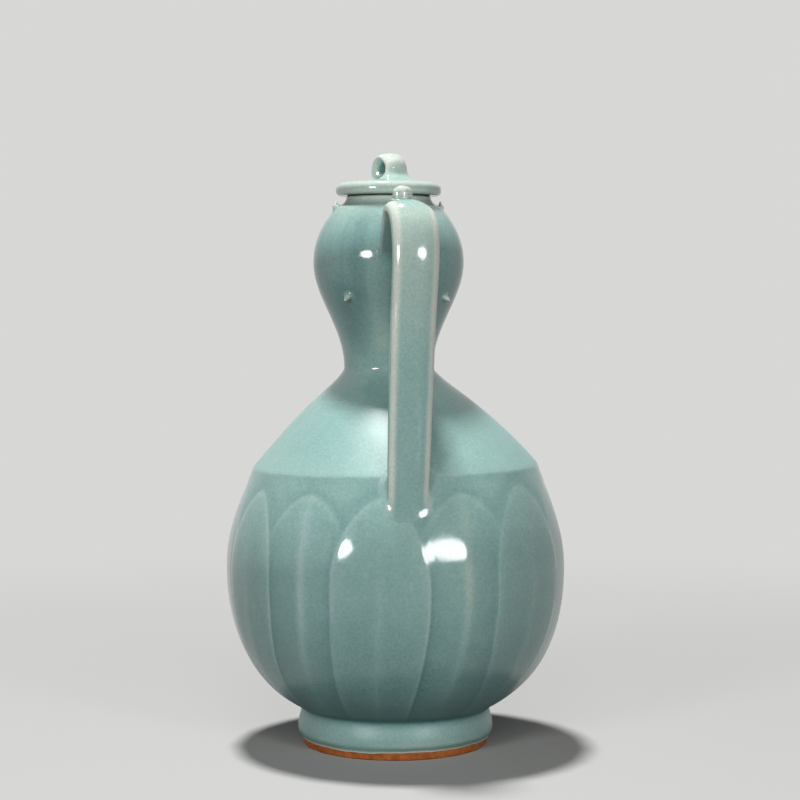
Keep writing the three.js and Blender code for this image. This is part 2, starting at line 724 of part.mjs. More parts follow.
// The belly reaches furthest on the handle's side and the spout on the other
ewer.position.y = (BELLY_RADIUS - SPOUT_REACH) / 2;

export default ewer;
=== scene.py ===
import math
from collections import namedtuple

import bpy
import numpy as np
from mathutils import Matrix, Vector


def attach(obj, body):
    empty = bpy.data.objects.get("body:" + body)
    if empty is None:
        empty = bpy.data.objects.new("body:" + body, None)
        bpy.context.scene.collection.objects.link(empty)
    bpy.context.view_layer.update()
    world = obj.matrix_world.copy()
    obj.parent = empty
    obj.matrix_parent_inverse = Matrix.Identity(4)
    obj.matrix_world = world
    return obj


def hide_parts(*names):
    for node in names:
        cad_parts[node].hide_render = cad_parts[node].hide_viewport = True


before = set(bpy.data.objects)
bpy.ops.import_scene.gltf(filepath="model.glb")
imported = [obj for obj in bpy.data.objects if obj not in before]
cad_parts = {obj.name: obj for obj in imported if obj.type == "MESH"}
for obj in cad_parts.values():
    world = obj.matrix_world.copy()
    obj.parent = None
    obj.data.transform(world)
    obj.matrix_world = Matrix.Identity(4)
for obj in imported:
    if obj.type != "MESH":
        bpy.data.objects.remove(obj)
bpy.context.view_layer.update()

scene = bpy.context.scene

# Lengths are in millimetres and angles in degrees until a mesh is made. The pot's own frame has its axis at the origin.
# An azimuth of 0 is -Y, the handle's side, and grows towards +X.
MM = 0.001
POT_Y = -19.7
POT_WHERE = Vector((0, POT_Y, 0))
# The photograph's side, from which the uneven forms were measured
PHOTO_AZIMUTH = -8.5

# Corners of the pot's outline, from the glaze's end on the foot up to the mouth
Corner = namedtuple("Corner", "radius height")
GLAZE_END = Corner(47.05, 3.9)
FOOT_SWELL = Corner(48.9, 8.0)
CREASE = Corner(47.0, 19.0)
BELLY = Corner(84.6, 89.3)
RIDGE = Corner(71.2, 139.5)
CONE_TOP = Corner(31.8, 178.2)
WAIST = Corner(22.2, 188.3)
BULB = Corner(37.5, 240.5)
BULB_TOP = Corner(26.3, 268.0)
MOUTH = Corner(21.0, 273.6)
RIM_ROUND = 1.0
RIM_LOW = Corner(MOUTH.radius, MOUTH.height - RIM_ROUND)
RIM_TOP = Corner(MOUTH.radius - RIM_ROUND, MOUTH.height)
BASE = Corner(34.0, 13.0)

FOOT_INSIDE = 39.3
MOUTH_BORE = 15.6
BELLY_WALL = 5.0
UPPER_WALL = 4.5
# How far the waist and all above it stand towards -X, and how far the ridge tips up at +X
LEAN = 3.4
RIDGE_TILT = 1.0
RIDGE_TILT_REACH = 22


def heading(degrees):
    return np.array([math.cos(math.radians(degrees)), math.sin(math.radians(degrees))])


LINE_STEP = 0.1


def span(start, start_rise, end, end_rise, fullness, spacing=LINE_STEP):
    """A smooth span of outline between two (radius, height) points with a direction at each end."""
    start, end = np.array(start, float), np.array(end, float)
    chord = np.linalg.norm(end - start)
    a = start + fullness[0] * chord * heading(start_rise)
    b = end - fullness[1] * chord * heading(end_rise)
    t = np.linspace(0, 1, max(3, int(chord / spacing)))[:, None]
    return (1 - t) ** 3 * start + 3 * (1 - t) ** 2 * t * a + 3 * (1 - t) * t * t * b + t**3 * end


def joined(spans):
    return np.concatenate([spans[0]] + [s[1:] for s in spans[1:]])


def along(points):
    return np.concatenate([[0], np.cumsum(np.linalg.norm(np.diff(points, axis=0), axis=1))])


def resampled(points, places):
    lengths = along(points)
    return np.stack([np.interp(places, lengths, points[:, k]) for k in range(points.shape[1])], 1)


def evenly(points, spacing, least):
    """Evenly spaced points along a line, at least so many."""
    length = along(points)[-1]
    return resampled(points, np.linspace(0, length, max(least, int(length / spacing))))


def bent_line(corners, length, count):
    """Evenly spaced points on straight lines between corners, over the given length."""
    return resampled(np.array(corners, float), np.linspace(0, length, count))


def smoothstep(low, high, value):
    t = np.clip((value - low) / (high - low), 0, 1)
    return t * t * (3 - 2 * t)


def bell(value, width):
    return np.exp(-((value / width) ** 2))


def trail(value, width):
    """1 up to zero, and dying away beyond it."""
    return np.exp(-np.maximum(value, 0) / width)


def wrapped(degrees):
    return (degrees + 180) % 360 - 180


def from_table(table, place):
    return np.interp(place, [at for at, _ in table], [value for _, value in table])


def place_on(line, corner):
    """Where along a line its nearest point to a corner lies."""
    return along(line)[np.argmin(np.linalg.norm(line - corner, axis=1))]


def rounded(line, corner, sigma):
    """The line with a corner eased over about twice sigma."""
    length = along(line)[-1]
    line = resampled(line, np.append(np.arange(0, length, LINE_STEP), length))
    soft = line.copy()
    half = int(4 * sigma / LINE_STEP)
    kernel = np.exp(-0.5 * (np.arange(-half, half + 1) * LINE_STEP / sigma) ** 2)
    kernel /= kernel.sum()
    for k in range(2):
        soft[:, k] = np.convolve(np.pad(line[:, k], half, mode="edge"), kernel, mode="valid")
    weight = 1 - smoothstep(3 * sigma, 5 * sigma, np.abs(along(line) - place_on(line, corner)))
    return line + weight[:, None] * (soft - line)


CREASE_RISE = math.degrees(math.atan2(CREASE.height - BASE.height, CREASE.radius - BASE.radius))
SKIN = joined([
    span(GLAZE_END, 76, FOOT_SWELL, 90, (0.4, 0.4)),
    span(FOOT_SWELL, 90, CREASE, 96, (0.4, 0.4)),
    span(CREASE, CREASE_RISE, BELLY, 90, (0.33, 0.46)),
    span(BELLY, 90, RIDGE, 107, (0.47, 0.15)),
    span(RIDGE, 130, CONE_TOP, 141, (0.48, 0.2)),
    span(CONE_TOP, 141, WAIST, 90, (0.15, 0.15)),
    span(WAIST, 90, BULB, 90, (0.37, 0.32)),
    span(BULB, 90, BULB_TOP, 128, (0.42, 0.3)),
    span(BULB_TOP, 150, RIM_LOW, 105, (0.45, 0.4)),
    span(RIM_LOW, 90, RIM_TOP, 180, (0.4, 0.4)),
])
for corner, softness in ((CREASE, 1.3), (RIDGE, 0.8), (BULB_TOP, 0.5)):
    SKIN = rounded(SKIN, corner, softness)
# Heights only rise along the skin up to the mouth's rim, so a radius can be looked up by height
SKIN_RISE = np.maximum.accumulate(SKIN[:, 1]) + np.arange(len(SKIN)) * 1e-9


def outline_radius(height):
    return np.interp(height, SKIN_RISE, SKIN[:, 0])


def lean_at(height):
    share = np.clip((height - RIDGE.height) / (WAIST.height - RIDGE.height), 0, 1)
    return -LEAN * share * share


# Lotus petals carved on the belly, in degrees but for the height of the tip. Narrowing is the share of the width lost
# towards the foot, and pale is how pale the glaze lies on the edge or crest.
Petal = namedtuple("Petal", "middle half_width tip narrowing pale", defaults=(0.22, 0.8))
FRONT_PETALS = [
    Petal(-67.6, 13.6, 130.6, pale=1.0),
    Petal(-13.4, 16.2, 129.6, 0.1, 1.0),
    Petal(44.0, 17.0, 132.6, 0.36, 0.45),
    Petal(106.5, 16.4, 130.8),
    Petal(169.0, 16.0, 131.4),
    Petal(231.6, 16.4, 130.2),
]
UNDER_PETALS = [
    Petal(-40.4, 18.6, 131.2, pale=1.0),
    Petal(15.8, 19.4, 131.5),
    Petal(75.2, 19.0, 131.0),
    Petal(137.8, 19.0, 131.8),
    Petal(200.3, 19.0, 130.8),
    Petal(262.9, 18.8, 131.4),
]
PETAL_SHOULDER = 42.0
PETAL_POINT = 0.62
# How deep the carving goes: flat front petals with a low crest, roofed under petals, and the ground between them
FRONT_FLATNESS = 0.2
FRONT_CREST = 0.22
UNDER_HALF = 13.5
UNDER_ROOF = 0.8
FACET_SHARE = 0.7
TIP_SINK = 0.55
GROUND_DEPTH = 0.3
# The carving leans towards -X below DRIFT_HEIGHT, and by DRIFT degrees once DRIFT_SPAN further down
DRIFT = 2.4
DRIFT_HEIGHT = 80
DRIFT_SPAN = 42


def petal_drift(height):
    return DRIFT * np.clip((DRIFT_HEIGHT - height) / DRIFT_SPAN, 0, 1.4) ** 1.5


def petal_width(petal, height):
    """A petal's half width in degrees: a pointed arch at the tip, slowly narrowing towards the foot."""
    down = np.clip((petal.tip - height) / PETAL_SHOULDER, 0, 1)
    arch = np.sin(np.pi / 2 * down**PETAL_POINT)
    return petal.half_width * arch * (1 - petal.narrowing * np.clip((75 - height) / 55, 0, 1) ** 1.6)


def petal_inside(petal, azimuth, height):
    """About how far a point lies inside a petal's edge, negative outside, its angle and its distance from the petal's
    middle, and the petal's half width there."""
    scale = np.radians(outline_radius(height))
    turn = wrapped(azimuth - petal.middle)
    width = petal_width(petal, height)
    beside = (width - np.abs(turn)) * scale - 4 * np.maximum(height - petal.tip, 0)
    share = np.clip(np.abs(turn) / petal.half_width, 0, 1)
    arch = petal.tip - PETAL_SHOULDER * (2 / np.pi * np.arcsin(share)) ** (1 / PETAL_POINT)
    below = np.where(share < 1, arch - height, -1e3)
    both = np.abs(beside * below) / np.maximum(np.hypot(beside, below), 1e-9)
    inside = np.where(beside * below > 0, np.sign(beside) * both, np.minimum(beside, below))
    return inside, turn, turn * scale, width


def facet(share, width):
    """How far a petal's half, cut nearly flat from its crest to its edge, lies behind the round belly."""
    share = np.clip(share, 0, 1)
    return -FACET_SHARE * BELLY.radius * np.radians(width) ** 2 / 2 * share * (1 - share)


def under_form(petal, height, inside, turn, aside, _):
    """Where an under petal shows, how far it stands out and how pale it is: a roof with a crest and a soft edge."""
    down = petal.tip - height
    share = np.abs(turn) / UNDER_HALF
    low = smoothstep(0, 30, down)
    roof = -UNDER_ROOF * np.clip(share, 0, 1.2) ** 1.2 * low + facet(share, UNDER_HALF) * low
    roof = roof - TIP_SINK * (1 - smoothstep(0, 40, down))
    mask = smoothstep(-1.4, 1.2, inside)
    crest = (0.16 + 0.34 * smoothstep(8, 50, down)) * bell(aside, 2.3) * mask
    crest = crest * petal.pale * (0.3 + 0.7 * smoothstep(28, 80, height))
    return mask, roof, crest + 0.11 * bell(inside - 1.2, 1.4)


def front_form(petal, height, inside, turn, aside, width):
    """The same for a front petal, and how much of its +X side's sharper edge it has: flat, with a crisp pale edge."""
    down = petal.tip - height
    share = np.clip(np.abs(turn) / np.maximum(width, 4), 0, 1)
    low = smoothstep(0, 30, down)
    roof = -FRONT_FLATNESS * BELLY.radius * np.radians(width) ** 2 / 2 * (1 - share**2)
    roof = roof + FRONT_CREST * low * (bell(aside, 3.5) - 1)
    roof = roof - 0.4 * low * trail(inside, 2.0) - 0.4 * TIP_SINK * (1 - smoothstep(0, 40, down))
    soft = 0.7 + 1.5 * smoothstep(38, 8, down)
    mask = smoothstep(-3.0 * soft, soft, inside)
    side = smoothstep(-2, 2, aside) * smoothstep(22, 50, down)
    crest = 0.2 * smoothstep(15, 60, down) * bell(aside, 2.2) * mask
    crisp = 0.3 + 0.7 * smoothstep(20, 60, down)
    edge = 0.3 * trail(inside, 2.8) + (0.03 + 0.2 * side) * crisp * bell(inside - 0.5, 0.5)
    return mask, roof, crest + petal.pale * edge, side


def layer(petals, form, azimuth, height):
    """How far inside the nearest petal of a layer each point lies, where the layer shows, and its form there."""
    nearest = np.full(np.broadcast(azimuth, height).shape, -1e3)
    mask = np.zeros_like(nearest)
    values = [np.zeros_like(nearest)] * 3
    for petal in petals:
        inside, *place = petal_inside(petal, azimuth, height)
        shown, *found = form(petal, height, inside, *place)
        values = [np.where(inside > nearest, new, old) for new, old in zip(found, values)]
        mask = np.maximum(mask, shown)
        nearest = np.maximum(nearest, inside)
    return nearest, mask, *values


def belly_relief(azimuth, height):
    """How far the carving moves the belly's skin, and how pale or pooled the glaze lies on it, from 1 to -1."""
    azimuth = azimuth + petal_drift(height)
    under_in, under_mask, under, under_line = layer(UNDER_PETALS, under_form, azimuth, height)
    front_in, front_mask, front, front_line, side = layer(FRONT_PETALS, front_form, azimuth, height)
    outside = np.maximum(-np.maximum(under_in, front_in), 0)
    ground = -(GROUND_DEPTH + TIP_SINK) * trail(outside, 6.0) * smoothstep(0, 20, RIDGE.height + 3 - height)
    rise = ground + under_mask * (under - ground)
    rise = rise + front_mask * (front - rise)
    # The glaze pools along the front petals' edges, on the sharper side most, and on the ground
    pool = -0.34 * trail(-front_in - 0.6, 4.5) - (0.08 + 0.25 * side) * bell(front_in + 1.0, 0.5)
    pool = pool - 0.2 * (1 - under_mask) * trail(outside, 3.5)
    line = (under_line + pool) * (1 - front_mask) + front_line * smoothstep(-0.8, 0.2, front_in)
    fade = 0.3 + 0.7 * smoothstep(21, 36, height)
    within = 1 - smoothstep(RIDGE.height - 2, RIDGE.height, height)
    within = within * smoothstep(CREASE.height - 0.5, CREASE.height + 2.5, height)
    return rise * fade * within, line * (0.5 + 0.5 * fade) * within


BULB_LOBES = 8
LOBE_DEPTH = 0.16
STREAKS = (9, 14, 23, 37, 58)


def skin_relief(azimuth, height):
    """The belly's carving, the faint lobes of the upper bulb and the streaks in its glaze, with painted light and shade
    on the neck.
    """
    rise, line = belly_relief(azimuth, height)
    on_bulb = smoothstep(WAIST.height + 8, BULB.height - 12, height)
    on_bulb = on_bulb * (1 - smoothstep(BULB_TOP.height - 9, BULB_TOP.height - 1, height))
    wave = 0.5 - 0.5 * np.cos(np.radians(BULB_LOBES * (azimuth - PHOTO_AZIMUTH)))
    streaks = sum(np.sin(k * np.radians(azimuth) + 1.7 * k) / k**0.4 for k in STREAKS)
    # Painted light on the neck in front, beside the handle (thin), and painted shade to the left of that (deep)
    neck = smoothstep(192, 204, height)
    thin = neck * smoothstep(262, 235, height) * bell(wrapped(azimuth + 18), 10)
    deep = neck * smoothstep(236, 224, height) * bell(wrapped(azimuth + 50), 16)
    line = line - on_bulb * (0.24 * wave**3 + 0.075 * streaks) + 0.34 * thin - 0.4 * deep
    return rise - LOBE_DEPTH * on_bulb * wave, line


def ridge_tilt(azimuth, height):
    return RIDGE_TILT * np.sin(np.radians(azimuth - PHOTO_AZIMUTH)) * bell(height - RIDGE.height, RIDGE_TILT_REACH)


def pot_gap(points):
    """About how far points stand off the pot's skin, in the pot's frame, and negative inside."""
    x = points[..., 0] - lean_at(points[..., 2])
    azimuth = np.degrees(np.arctan2(x, -points[..., 1]))
    level = points[..., 2] - ridge_tilt(azimuth, points[..., 2])
    return np.hypot(x, points[..., 1]) - (outline_radius(level) + skin_relief(azimuth, level)[0])


def gradient(gap, points, step=0.15):
    moves = step * np.eye(3)
    return np.stack([(gap(points + move) - gap(points - move)) / (2 * step) for move in moves], -1)


def unit(vectors):
    return vectors / np.maximum(np.linalg.norm(vectors, axis=-1, keepdims=True), 1e-9)


def settled(gap, points, lift):
    """The points moved to a little off a surface, or into it."""
    for _ in range(4):
        slope = gradient(gap, points)
        points = points - ((gap(points) - lift) / np.maximum((slope**2).sum(-1), 0.05))[..., None] * slope
    return points


# Meshes: each is a grid of points whose rows run along a piece and whose columns run round it


def placed(name, data):
    """A new object in the scene."""
    made = bpy.data.objects.new(name, data)
    scene.collection.objects.link(made)
    return made


def around(values, axis):
    """The difference between each point's two neighbours along an axis of a grid."""
    return np.roll(values, -1, axis=axis) - np.roll(values, 1, axis=axis)


def grid_normals(grid, loop_rows=False):
    up = around(grid, 0)
    if not loop_rows:
        up[0], up[-1] = grid[1] - grid[0], grid[-1] - grid[-2]
    return unit(np.cross(around(grid, 1), up))


def bend_edge(grid, normals, rounds):
    """How pale the glaze lies by how sharply the surface turns, in 1/mm: thin on edges, and pooled in hollows."""
    bend = 0
    for axis in (0, 1):
        places = around(grid, axis)
        turn = (places * around(normals, axis)).sum(-1) / np.maximum((places**2).sum(-1), 1e-4)
        if axis == 0:
            turn[0], turn[-1] = turn[1], turn[-2]
        bend = bend + turn
    edge = smoothstep(0.07, 0.45, bend) - 0.6 * smoothstep(0.06, 0.5, -bend)
    for _ in range(rounds):
        inner = edge.copy()
        inner[1:-1] = (edge[:-2] + 2 * edge[1:-1] + edge[2:]) / 4
        edge = (np.roll(inner, 1, axis=1) + 2 * inner + np.roll(inner, -1, axis=1)) / 4
    return edge


def mark(mesh, name, values):
    """Gives each point of a mesh a value, for its material."""
    mesh.attributes.new(name, "FLOAT", "POINT").data.foreach_set("value", values.astype(np.float32))


def grid_piece(name, grid, normals=None, edge=None, loop_rows=False, caps=(), where=POT_WHERE):
    """A mesh over a grid of points, closed round its columns, over its rows where asked, and by caps on the end rows
    named, 0 and -1."""
    rows, cols = grid.shape[:2]
    if normals is None:
        normals = grid_normals(grid, loop_rows)
    if edge is None:
        edge = bend_edge(grid, normals, 2)
    number = np.arange(rows * cols).reshape(rows, cols)
    low = number if loop_rows else number[:-1]
    high = np.roll(number, -1, axis=0) if loop_rows else number[1:]
    quads = np.stack([low, np.roll(low, -1, axis=1), np.roll(high, -1, axis=1), high], -1)
    faces = quads.reshape(-1, 4).tolist()
    points, normals, edge = grid.reshape(-1, 3), normals.reshape(-1, 3), edge.reshape(-1)
    for row in caps:
        middle = grid[row].mean(0)
        axis = unit(np.cross(grid[row, 0] - middle, grid[row, cols // 4] - middle))
        fan = np.stack([np.roll(number[row], -1), number[row], np.full(cols, len(points))], -1)
        faces += (fan[:, ::-1] if row else fan).tolist()
        points = np.vstack([points, middle])
        normals = np.vstack([normals, axis if row else -axis])
        edge = np.append(edge, 0.0)
    mesh = bpy.data.meshes.new(name)
    mesh.from_pydata(((points + np.array(where)) * MM).tolist(), [], faces, shade_flat=False)
    mesh.validate()
    mark(mesh, "glaze_edge", edge)
    mesh.normals_split_custom_set_from_vertices(unit(normals).tolist())
    return placed(name, mesh)


# The pot's skin

HALF_COLUMNS = 16
middles = np.array([p.middle for p in FRONT_PETALS])
between = (middles + np.append(middles[1:], middles[0] + 360)) / 2
before = np.append(between[-1] - 360, between[:-1])


def columns_at(height):
    """Azimuths of the columns at one height, packed closely along the edges of the front petals."""
    found = []
    steps = np.arange(HALF_COLUMNS) / HALF_COLUMNS
    for petal, start, end in zip(FRONT_PETALS, before, between):
        middle = petal.middle
        width = max(petal_width(petal, height), 8.0)
        even = (end - start) / 4
        width += (even - width) * smoothstep(petal.tip, petal.tip + 18, height)
        inner = 1 - (1 - steps) ** 1.5
        outer = steps**1.5
        left = middle - width - (middle - width - start) * outer[::-1]
        right = middle + width + (end - middle - width) * outer
        found.append(np.concatenate([
            [start], left[:-1], [middle - width], (middle - width * inner[::-1])[:-1],
            [middle], (middle + width * inner)[1:], right,
        ]))
    return np.concatenate(found) - petal_drift(height)


def columns(heights):
    return np.stack([columns_at(z) for z in heights])


# Places along the skin where two pieces meet, and how far apart the rows are between them
SEAMS = [0, *(place_on(SKIN, corner) for corner in (CREASE, RIDGE, WAIST, BULB_TOP)), along(SKIN)[-1]]
ROW_SPACINGS = (0.7, 0.9, 1.2, 1.1, 0.5)
FINE_SEAMS = [SEAMS[k] for k in (0, 1, 2, 4)]


def row_places(start, end, spacing):
    """Places along the skin between two seams, closer together near the fine ones."""
    places = [start]
    while places[-1] < end:
        near = min(abs(places[-1] - seam) for seam in FINE_SEAMS)
        places.append(places[-1] + (spacing if near > 4 else max(0.3, spacing * (0.3 + 0.7 * near / 4))))
    places = np.array(places)
    return start + (places - start) * (end - start) / (places[-1] - start)


stations = [row_places(*seams) for seams in zip(SEAMS, SEAMS[1:], ROW_SPACINGS)]
all_places = joined(stations)
ends = np.cumsum([len(s) - 1 for s in stations])
row_points = resampled(SKIN, all_places)
AZIMUTHS = columns(row_points[:, 1])


def turned(radius, azimuths, height):
    turn = np.radians(azimuths)
    return np.stack([radius * np.sin(turn), -radius * np.cos(turn), height + 0 * turn], -1)


def skin_grid(line, azimuths, relief=True):
    """The rows of a line of (radius, height) points, and how pale the glaze lies on them."""
    level = line[:, 1:]
    rise, pale = skin_relief(azimuths, level) if relief else (0, np.zeros_like(azimuths))
    height = level + ridge_tilt(azimuths, level)
    grid = turned(line[:, :1] + rise, azimuths, height)
    grid[..., 0] += lean_at(height)
    return grid, pale


def glaze_line(azimuths):
    """The uneven lower end of the glaze on the foot."""
    waves = ((0.28, 3, 0.6), (0.16, 7, 2.1), (0.1, 19, 0), (0.07, 41, 1))
    return sum(size * np.sin(k * np.radians(azimuths) + phase) for size, k, phase in waves)


skin, petal_line = skin_grid(row_points, AZIMUTHS)
# The glaze on the foot ends at its uneven line, and everything above stays where it is
skin[..., 2] += (1 - smoothstep(3.2, 8.5, row_points[:, 1:])) * glaze_line(AZIMUTHS)
skin_normals = grid_normals(skin)
skin_edge = np.clip(0.5 * bend_edge(skin, skin_normals, 3) + petal_line, -1, 1)
foot_rows = slice(0, ends[0])
skin_edge[foot_rows] = np.maximum(skin_edge[foot_rows], 0.9 * (1 - smoothstep(0.2, 1.1, all_places[foot_rows, None])))
# How pale the glaze lies by height, with painted shade and light: darkest in the crease under the belly, where glaze
# pools and painted shade lies, painted shade low on the belly, darker round the bulb, partly pooled glaze and partly
# painted shade, and paler up the collar to the mouth's rim, where the glaze is thin and painted light lies
GLAZE_AND_PAINTED_SHADING_BY_HEIGHT = (
    (0, 0.05), (15, 0.0), (17.5, -0.45), (19, -1.0), (21, -0.65), (27, -0.45), (60, -0.22), (85, 0.02), (139, 0.08),
    (141, 0.1), (172, 0.08), (186, 0.08), (200, 0.06), (225, -0.24), (246, -0.2), (258, 0.04), (264, 0.24),
    (268, 0.28), (271, 0.6), (272.2, 1), (274, 1.2),
)
skin_edge = np.clip(skin_edge + from_table(GLAZE_AND_PAINTED_SHADING_BY_HEIGHT, row_points[:, 1:]), -1, 1)


def wall(points, thickness):
    """The inside of a wall behind part of the skin's outline, from top to bottom."""
    way = unit(np.gradient(points, axis=0))
    inner = points + thickness * np.stack([-way[:, 1], way[:, 0]], 1)
    return evenly(inner, 4.0, 3)[::-1]


def plain_rows(line, low, high):
    """Rows along a plain line in the skin's columns: their points, normals and glaze."""
    line = np.array(line)
    grid, _ = skin_grid(line, columns(np.clip(line[:, 1], low, high)), relief=False)
    return grid, grid_normals(grid), np.zeros(grid.shape[:2])


def skin_piece(name, part, inner, base=None):
    """The skin's rows between two seams, with plain rows inside along a line or at a wall's thickness: a closed shell,
    or a bowl on the rows of a base."""
    rows = slice((0, *ends)[part], ends[part] + 1)
    if np.isscalar(inner):
        inner = wall(row_points[rows], inner)
    reach = row_points[rows, 1][[0, -1]]
    parts = [(skin[rows], skin_normals[rows], skin_edge[rows]), plain_rows(inner, *reach)]
    if base is not None:
        parts.insert(0, plain_rows(base, *reach))
    grid, normals, edge = map(np.concatenate, zip(*parts))
    return grid_piece(name, grid, normals, edge, loop_rows=base is None, caps=() if base is None else (0, -1))


def dulled(piece, low, high, most):
    """Marks how dull a piece's glaze is: most at the height low, and none from high on."""
    heights = np.array([v.co.z for v in piece.data.vertices]) / MM
    mark(piece.data, "dullness", most * (1 - smoothstep(low, high, heights)))


foot = skin_piece("foot_ring_glazed", 0, [
    (FOOT_INSIDE - 0.6, BASE.height + 2.4), (FOOT_INSIDE - 0.7, 8.0), (FOOT_INSIDE - 0.6, 4.2),
    (FOOT_INSIDE + 0.8, 3.6), (45.4, 3.6),
])
# All of the foot is dull
dulled(foot, 100, 101, 1.0)

base_line = bent_line([(0.5, BASE.height), BASE, CREASE], 47.8, 12)[:-1]
belly_wall = wall(resampled(SKIN, np.linspace(SEAMS[1] + 6, SEAMS[2], 60)), BELLY_WALL)
belly_wall = np.vstack([belly_wall, [(30, CREASE.height + 1.5), (0.5, CREASE.height)]])
belly = skin_piece("belly_glazed", 1, belly_wall, base_line)
dulled(belly, 24, 62, 0.9)
shoulder = skin_piece("shoulder_glazed", 2, BELLY_WALL)
dulled(shoulder, 160, 188, 1.0)
bulb = skin_piece("upper_bulb_glazed", 3, UPPER_WALL)
collar = skin_piece("mouth_collar_glazed", 4, [
    (MOUTH_BORE + 1.2, MOUTH.height), (MOUTH_BORE + 0.3, MOUTH.height - 0.3), (MOUTH_BORE, MOUTH.height - 1.2),
    (MOUTH_BORE, BULB_TOP.height + 1), (BULB_TOP.radius - 5.7, BULB_TOP.height),
])


def ring_grid(line, count=192):
    return turned(line[:, :1], np.arange(count) * 360 / count, line[:, 1:])


rest_line = bent_line([
    (46.6, 5.4), (46.6, 3.6), (46.0, 0.7), (45.7, 0.15), (45.3, 0.0), (40.2, 0.0), (39.5, 0.2), (39.1, 0.8),
    (38.9, 4.4), (40, 5.0),
], 22.3, 60)
# Rows run from the inside up the outside, so that the faces look out
rest = grid_piece("foot_rest_clay", ring_grid(rest_line[::-1]), loop_rows=True)


# Straps, rings and tubes


def smooth_path(points, spacing):
    """Evenly spaced points on a smooth curve through the given ones."""
    points = np.array(points, float)
    gaps = np.sqrt(np.linalg.norm(np.diff(points, axis=0), axis=1))
    t = np.concatenate([[0], np.cumsum(gaps)])
    n = len(t)
    system, right = np.zeros((n, n)), np.zeros((n, points.shape[1]))
    system[0, 0] = system[-1, -1] = 1
    for i in range(1, n - 1):
        a, b = t[i] - t[i - 1], t[i + 1] - t[i]
        system[i, i - 1 : i + 2] = a, 2 * (a + b), b
        right[i] = 6 * ((points[i + 1] - points[i]) / b - (points[i] - points[i - 1]) / a)
    bends = np.linalg.solve(system, right)
    u = np.linspace(0, t[-1], 3000)
    i = np.clip(np.searchsorted(t, u) - 1, 0, n - 2)
    h = (t[i + 1] - t[i])[:, None]
    a, b = (t[i + 1] - u)[:, None], (u - t[i])[:, None]
    curve = (bends[i] * a**3 + bends[i + 1] * b**3) / (6 * h)
    curve += (points[i] / h - bends[i] * h / 6) * a + (points[i + 1] / h - bends[i + 1] * h / 6) * b
    return evenly(curve, spacing, 8)


class Strap:
    """A section carried along a path. section(place, angle) gives how far a point lies across and out from the path."""

    def __init__(self, path, across, section):
        self.path, self.section = path, section
        self.lengths = along(path)
        self.way = unit(np.gradient(path, axis=0))
        self.out = unit(np.cross(self.way, np.array(across, float)))
        self.across = unit(np.cross(self.out, self.way))
        self.length = self.lengths[-1]

    def at(self, table, place):
        return np.stack([np.interp(place, self.lengths, table[:, k]) for k in range(3)], -1)

    def beside(self, place, a, b):
        """Points at places along the strap, a across and b out from its path."""
        across, out = self.at(self.across, place), self.at(self.out, place)
        return self.at(self.path, place) + a[..., None] * across + b[..., None] * out

    def point(self, place, angle):
        return self.beside(place, *self.section(place, angle))

    def rows(self, first, last, shares, angles):
        """Rows of points at shares of the way from one place to another."""
        return np.array([self.point(first + (last - first) * share, angles) for share in shares])

    def side(self, place, angle):
        """The strap's own normal at a place and angle."""
        turn = self.point(place, angle + 0.02) - self.point(place, angle - 0.02)
        return unit(np.cross(turn, self.point(place + 0.2, angle) - self.point(place - 0.2, angle)))

    def box_gap(self, width, thickness, round_off, crown):
        """About how far points stand off a strap with a rounded, crowned section."""

        def gap(points):
            nearest = ((points[:, None] - self.path) ** 2).sum(-1).argmin(1)
            away = points - self.path[nearest]
            a = (away * self.across[nearest]).sum(-1)
            b = (away * self.out[nearest]).sum(-1) + crown(self.lengths[nearest]) * (2 * a / width) ** 2
            a = np.abs(a) - (width / 2 - round_off)
            b = np.abs(b) - (thickness / 2 - round_off)
            return np.hypot(np.maximum(a, 0), np.maximum(b, 0)) + np.minimum(np.maximum(a, b), 0) - round_off

        return gap


def root(strap, angles, gap, at_end, size, least, most, steps=9, sink=0.05, spread=1.0):
    """How a strap's end flows onto a surface: the place of each of its lines where the flow starts, the flow's rows
    from there out to the surface, and the surface's normals at the last row."""
    places = np.linspace(strap.length / 2, strap.length if at_end else 0, 60)
    under = np.stack([gap(strap.point(np.full(len(angles), p), angles)) for p in places]) < 0
    first_under = np.where(under.any(0), np.maximum(under.argmax(0), 1), len(places) - 1)
    clear, hit = places[first_under - 1], places[first_under]
    for _ in range(12):
        middle = (clear + hit) / 2
        sunk = gap(strap.point(middle, angles)) < 0
        clear, hit = np.where(sunk, clear, middle), np.where(sunk, middle, hit)
    corner = strap.point(hit, angles)
    ground = unit(gradient(gap, corner))
    side = strap.side(hit, angles)
    cosine = np.clip((side * ground).sum(-1), -0.98, 0.98)
    reach = np.clip(size * np.tan(np.arccos(cosine) / 2), least, most)
    for _ in range(6):
        reach = (np.roll(reach, 1) + 2 * reach + np.roll(reach, -1)) / 4
    away = unit(side - (side * ground).sum(-1)[..., None] * ground)
    start = hit - reach if at_end else hit + reach
    foot_points = settled(gap, corner + spread * reach[:, None] * away, -sink)
    first = strap.point(start, angles)
    shares = np.arange(1, steps + 1) / steps
    rows = np.array([(1 - s) ** 2 * first + 2 * s * (1 - s) * corner + s * s * foot_points for s in shares])
    return start, rows, unit(gradient(gap, foot_points))


def flat_section(width, thickness, corner, crown):
    """Nearly flat faces with round corners. Each size is a number, or is given by the place along the strap."""

    def section(place, angle):
        wide, thick, power, arch = (
            size(place) if callable(size) else size for size in (width, thickness, corner, crown)
        )
        c, s = np.cos(angle), np.sin(angle)
        a = wide / 2 * np.sign(c) * np.abs(c) ** (2 / power)
        b = thick / 2 * np.sign(s) * np.abs(s) ** (2 / power)
        return a, b - arch * (2 * a / wide) ** 2

    return section


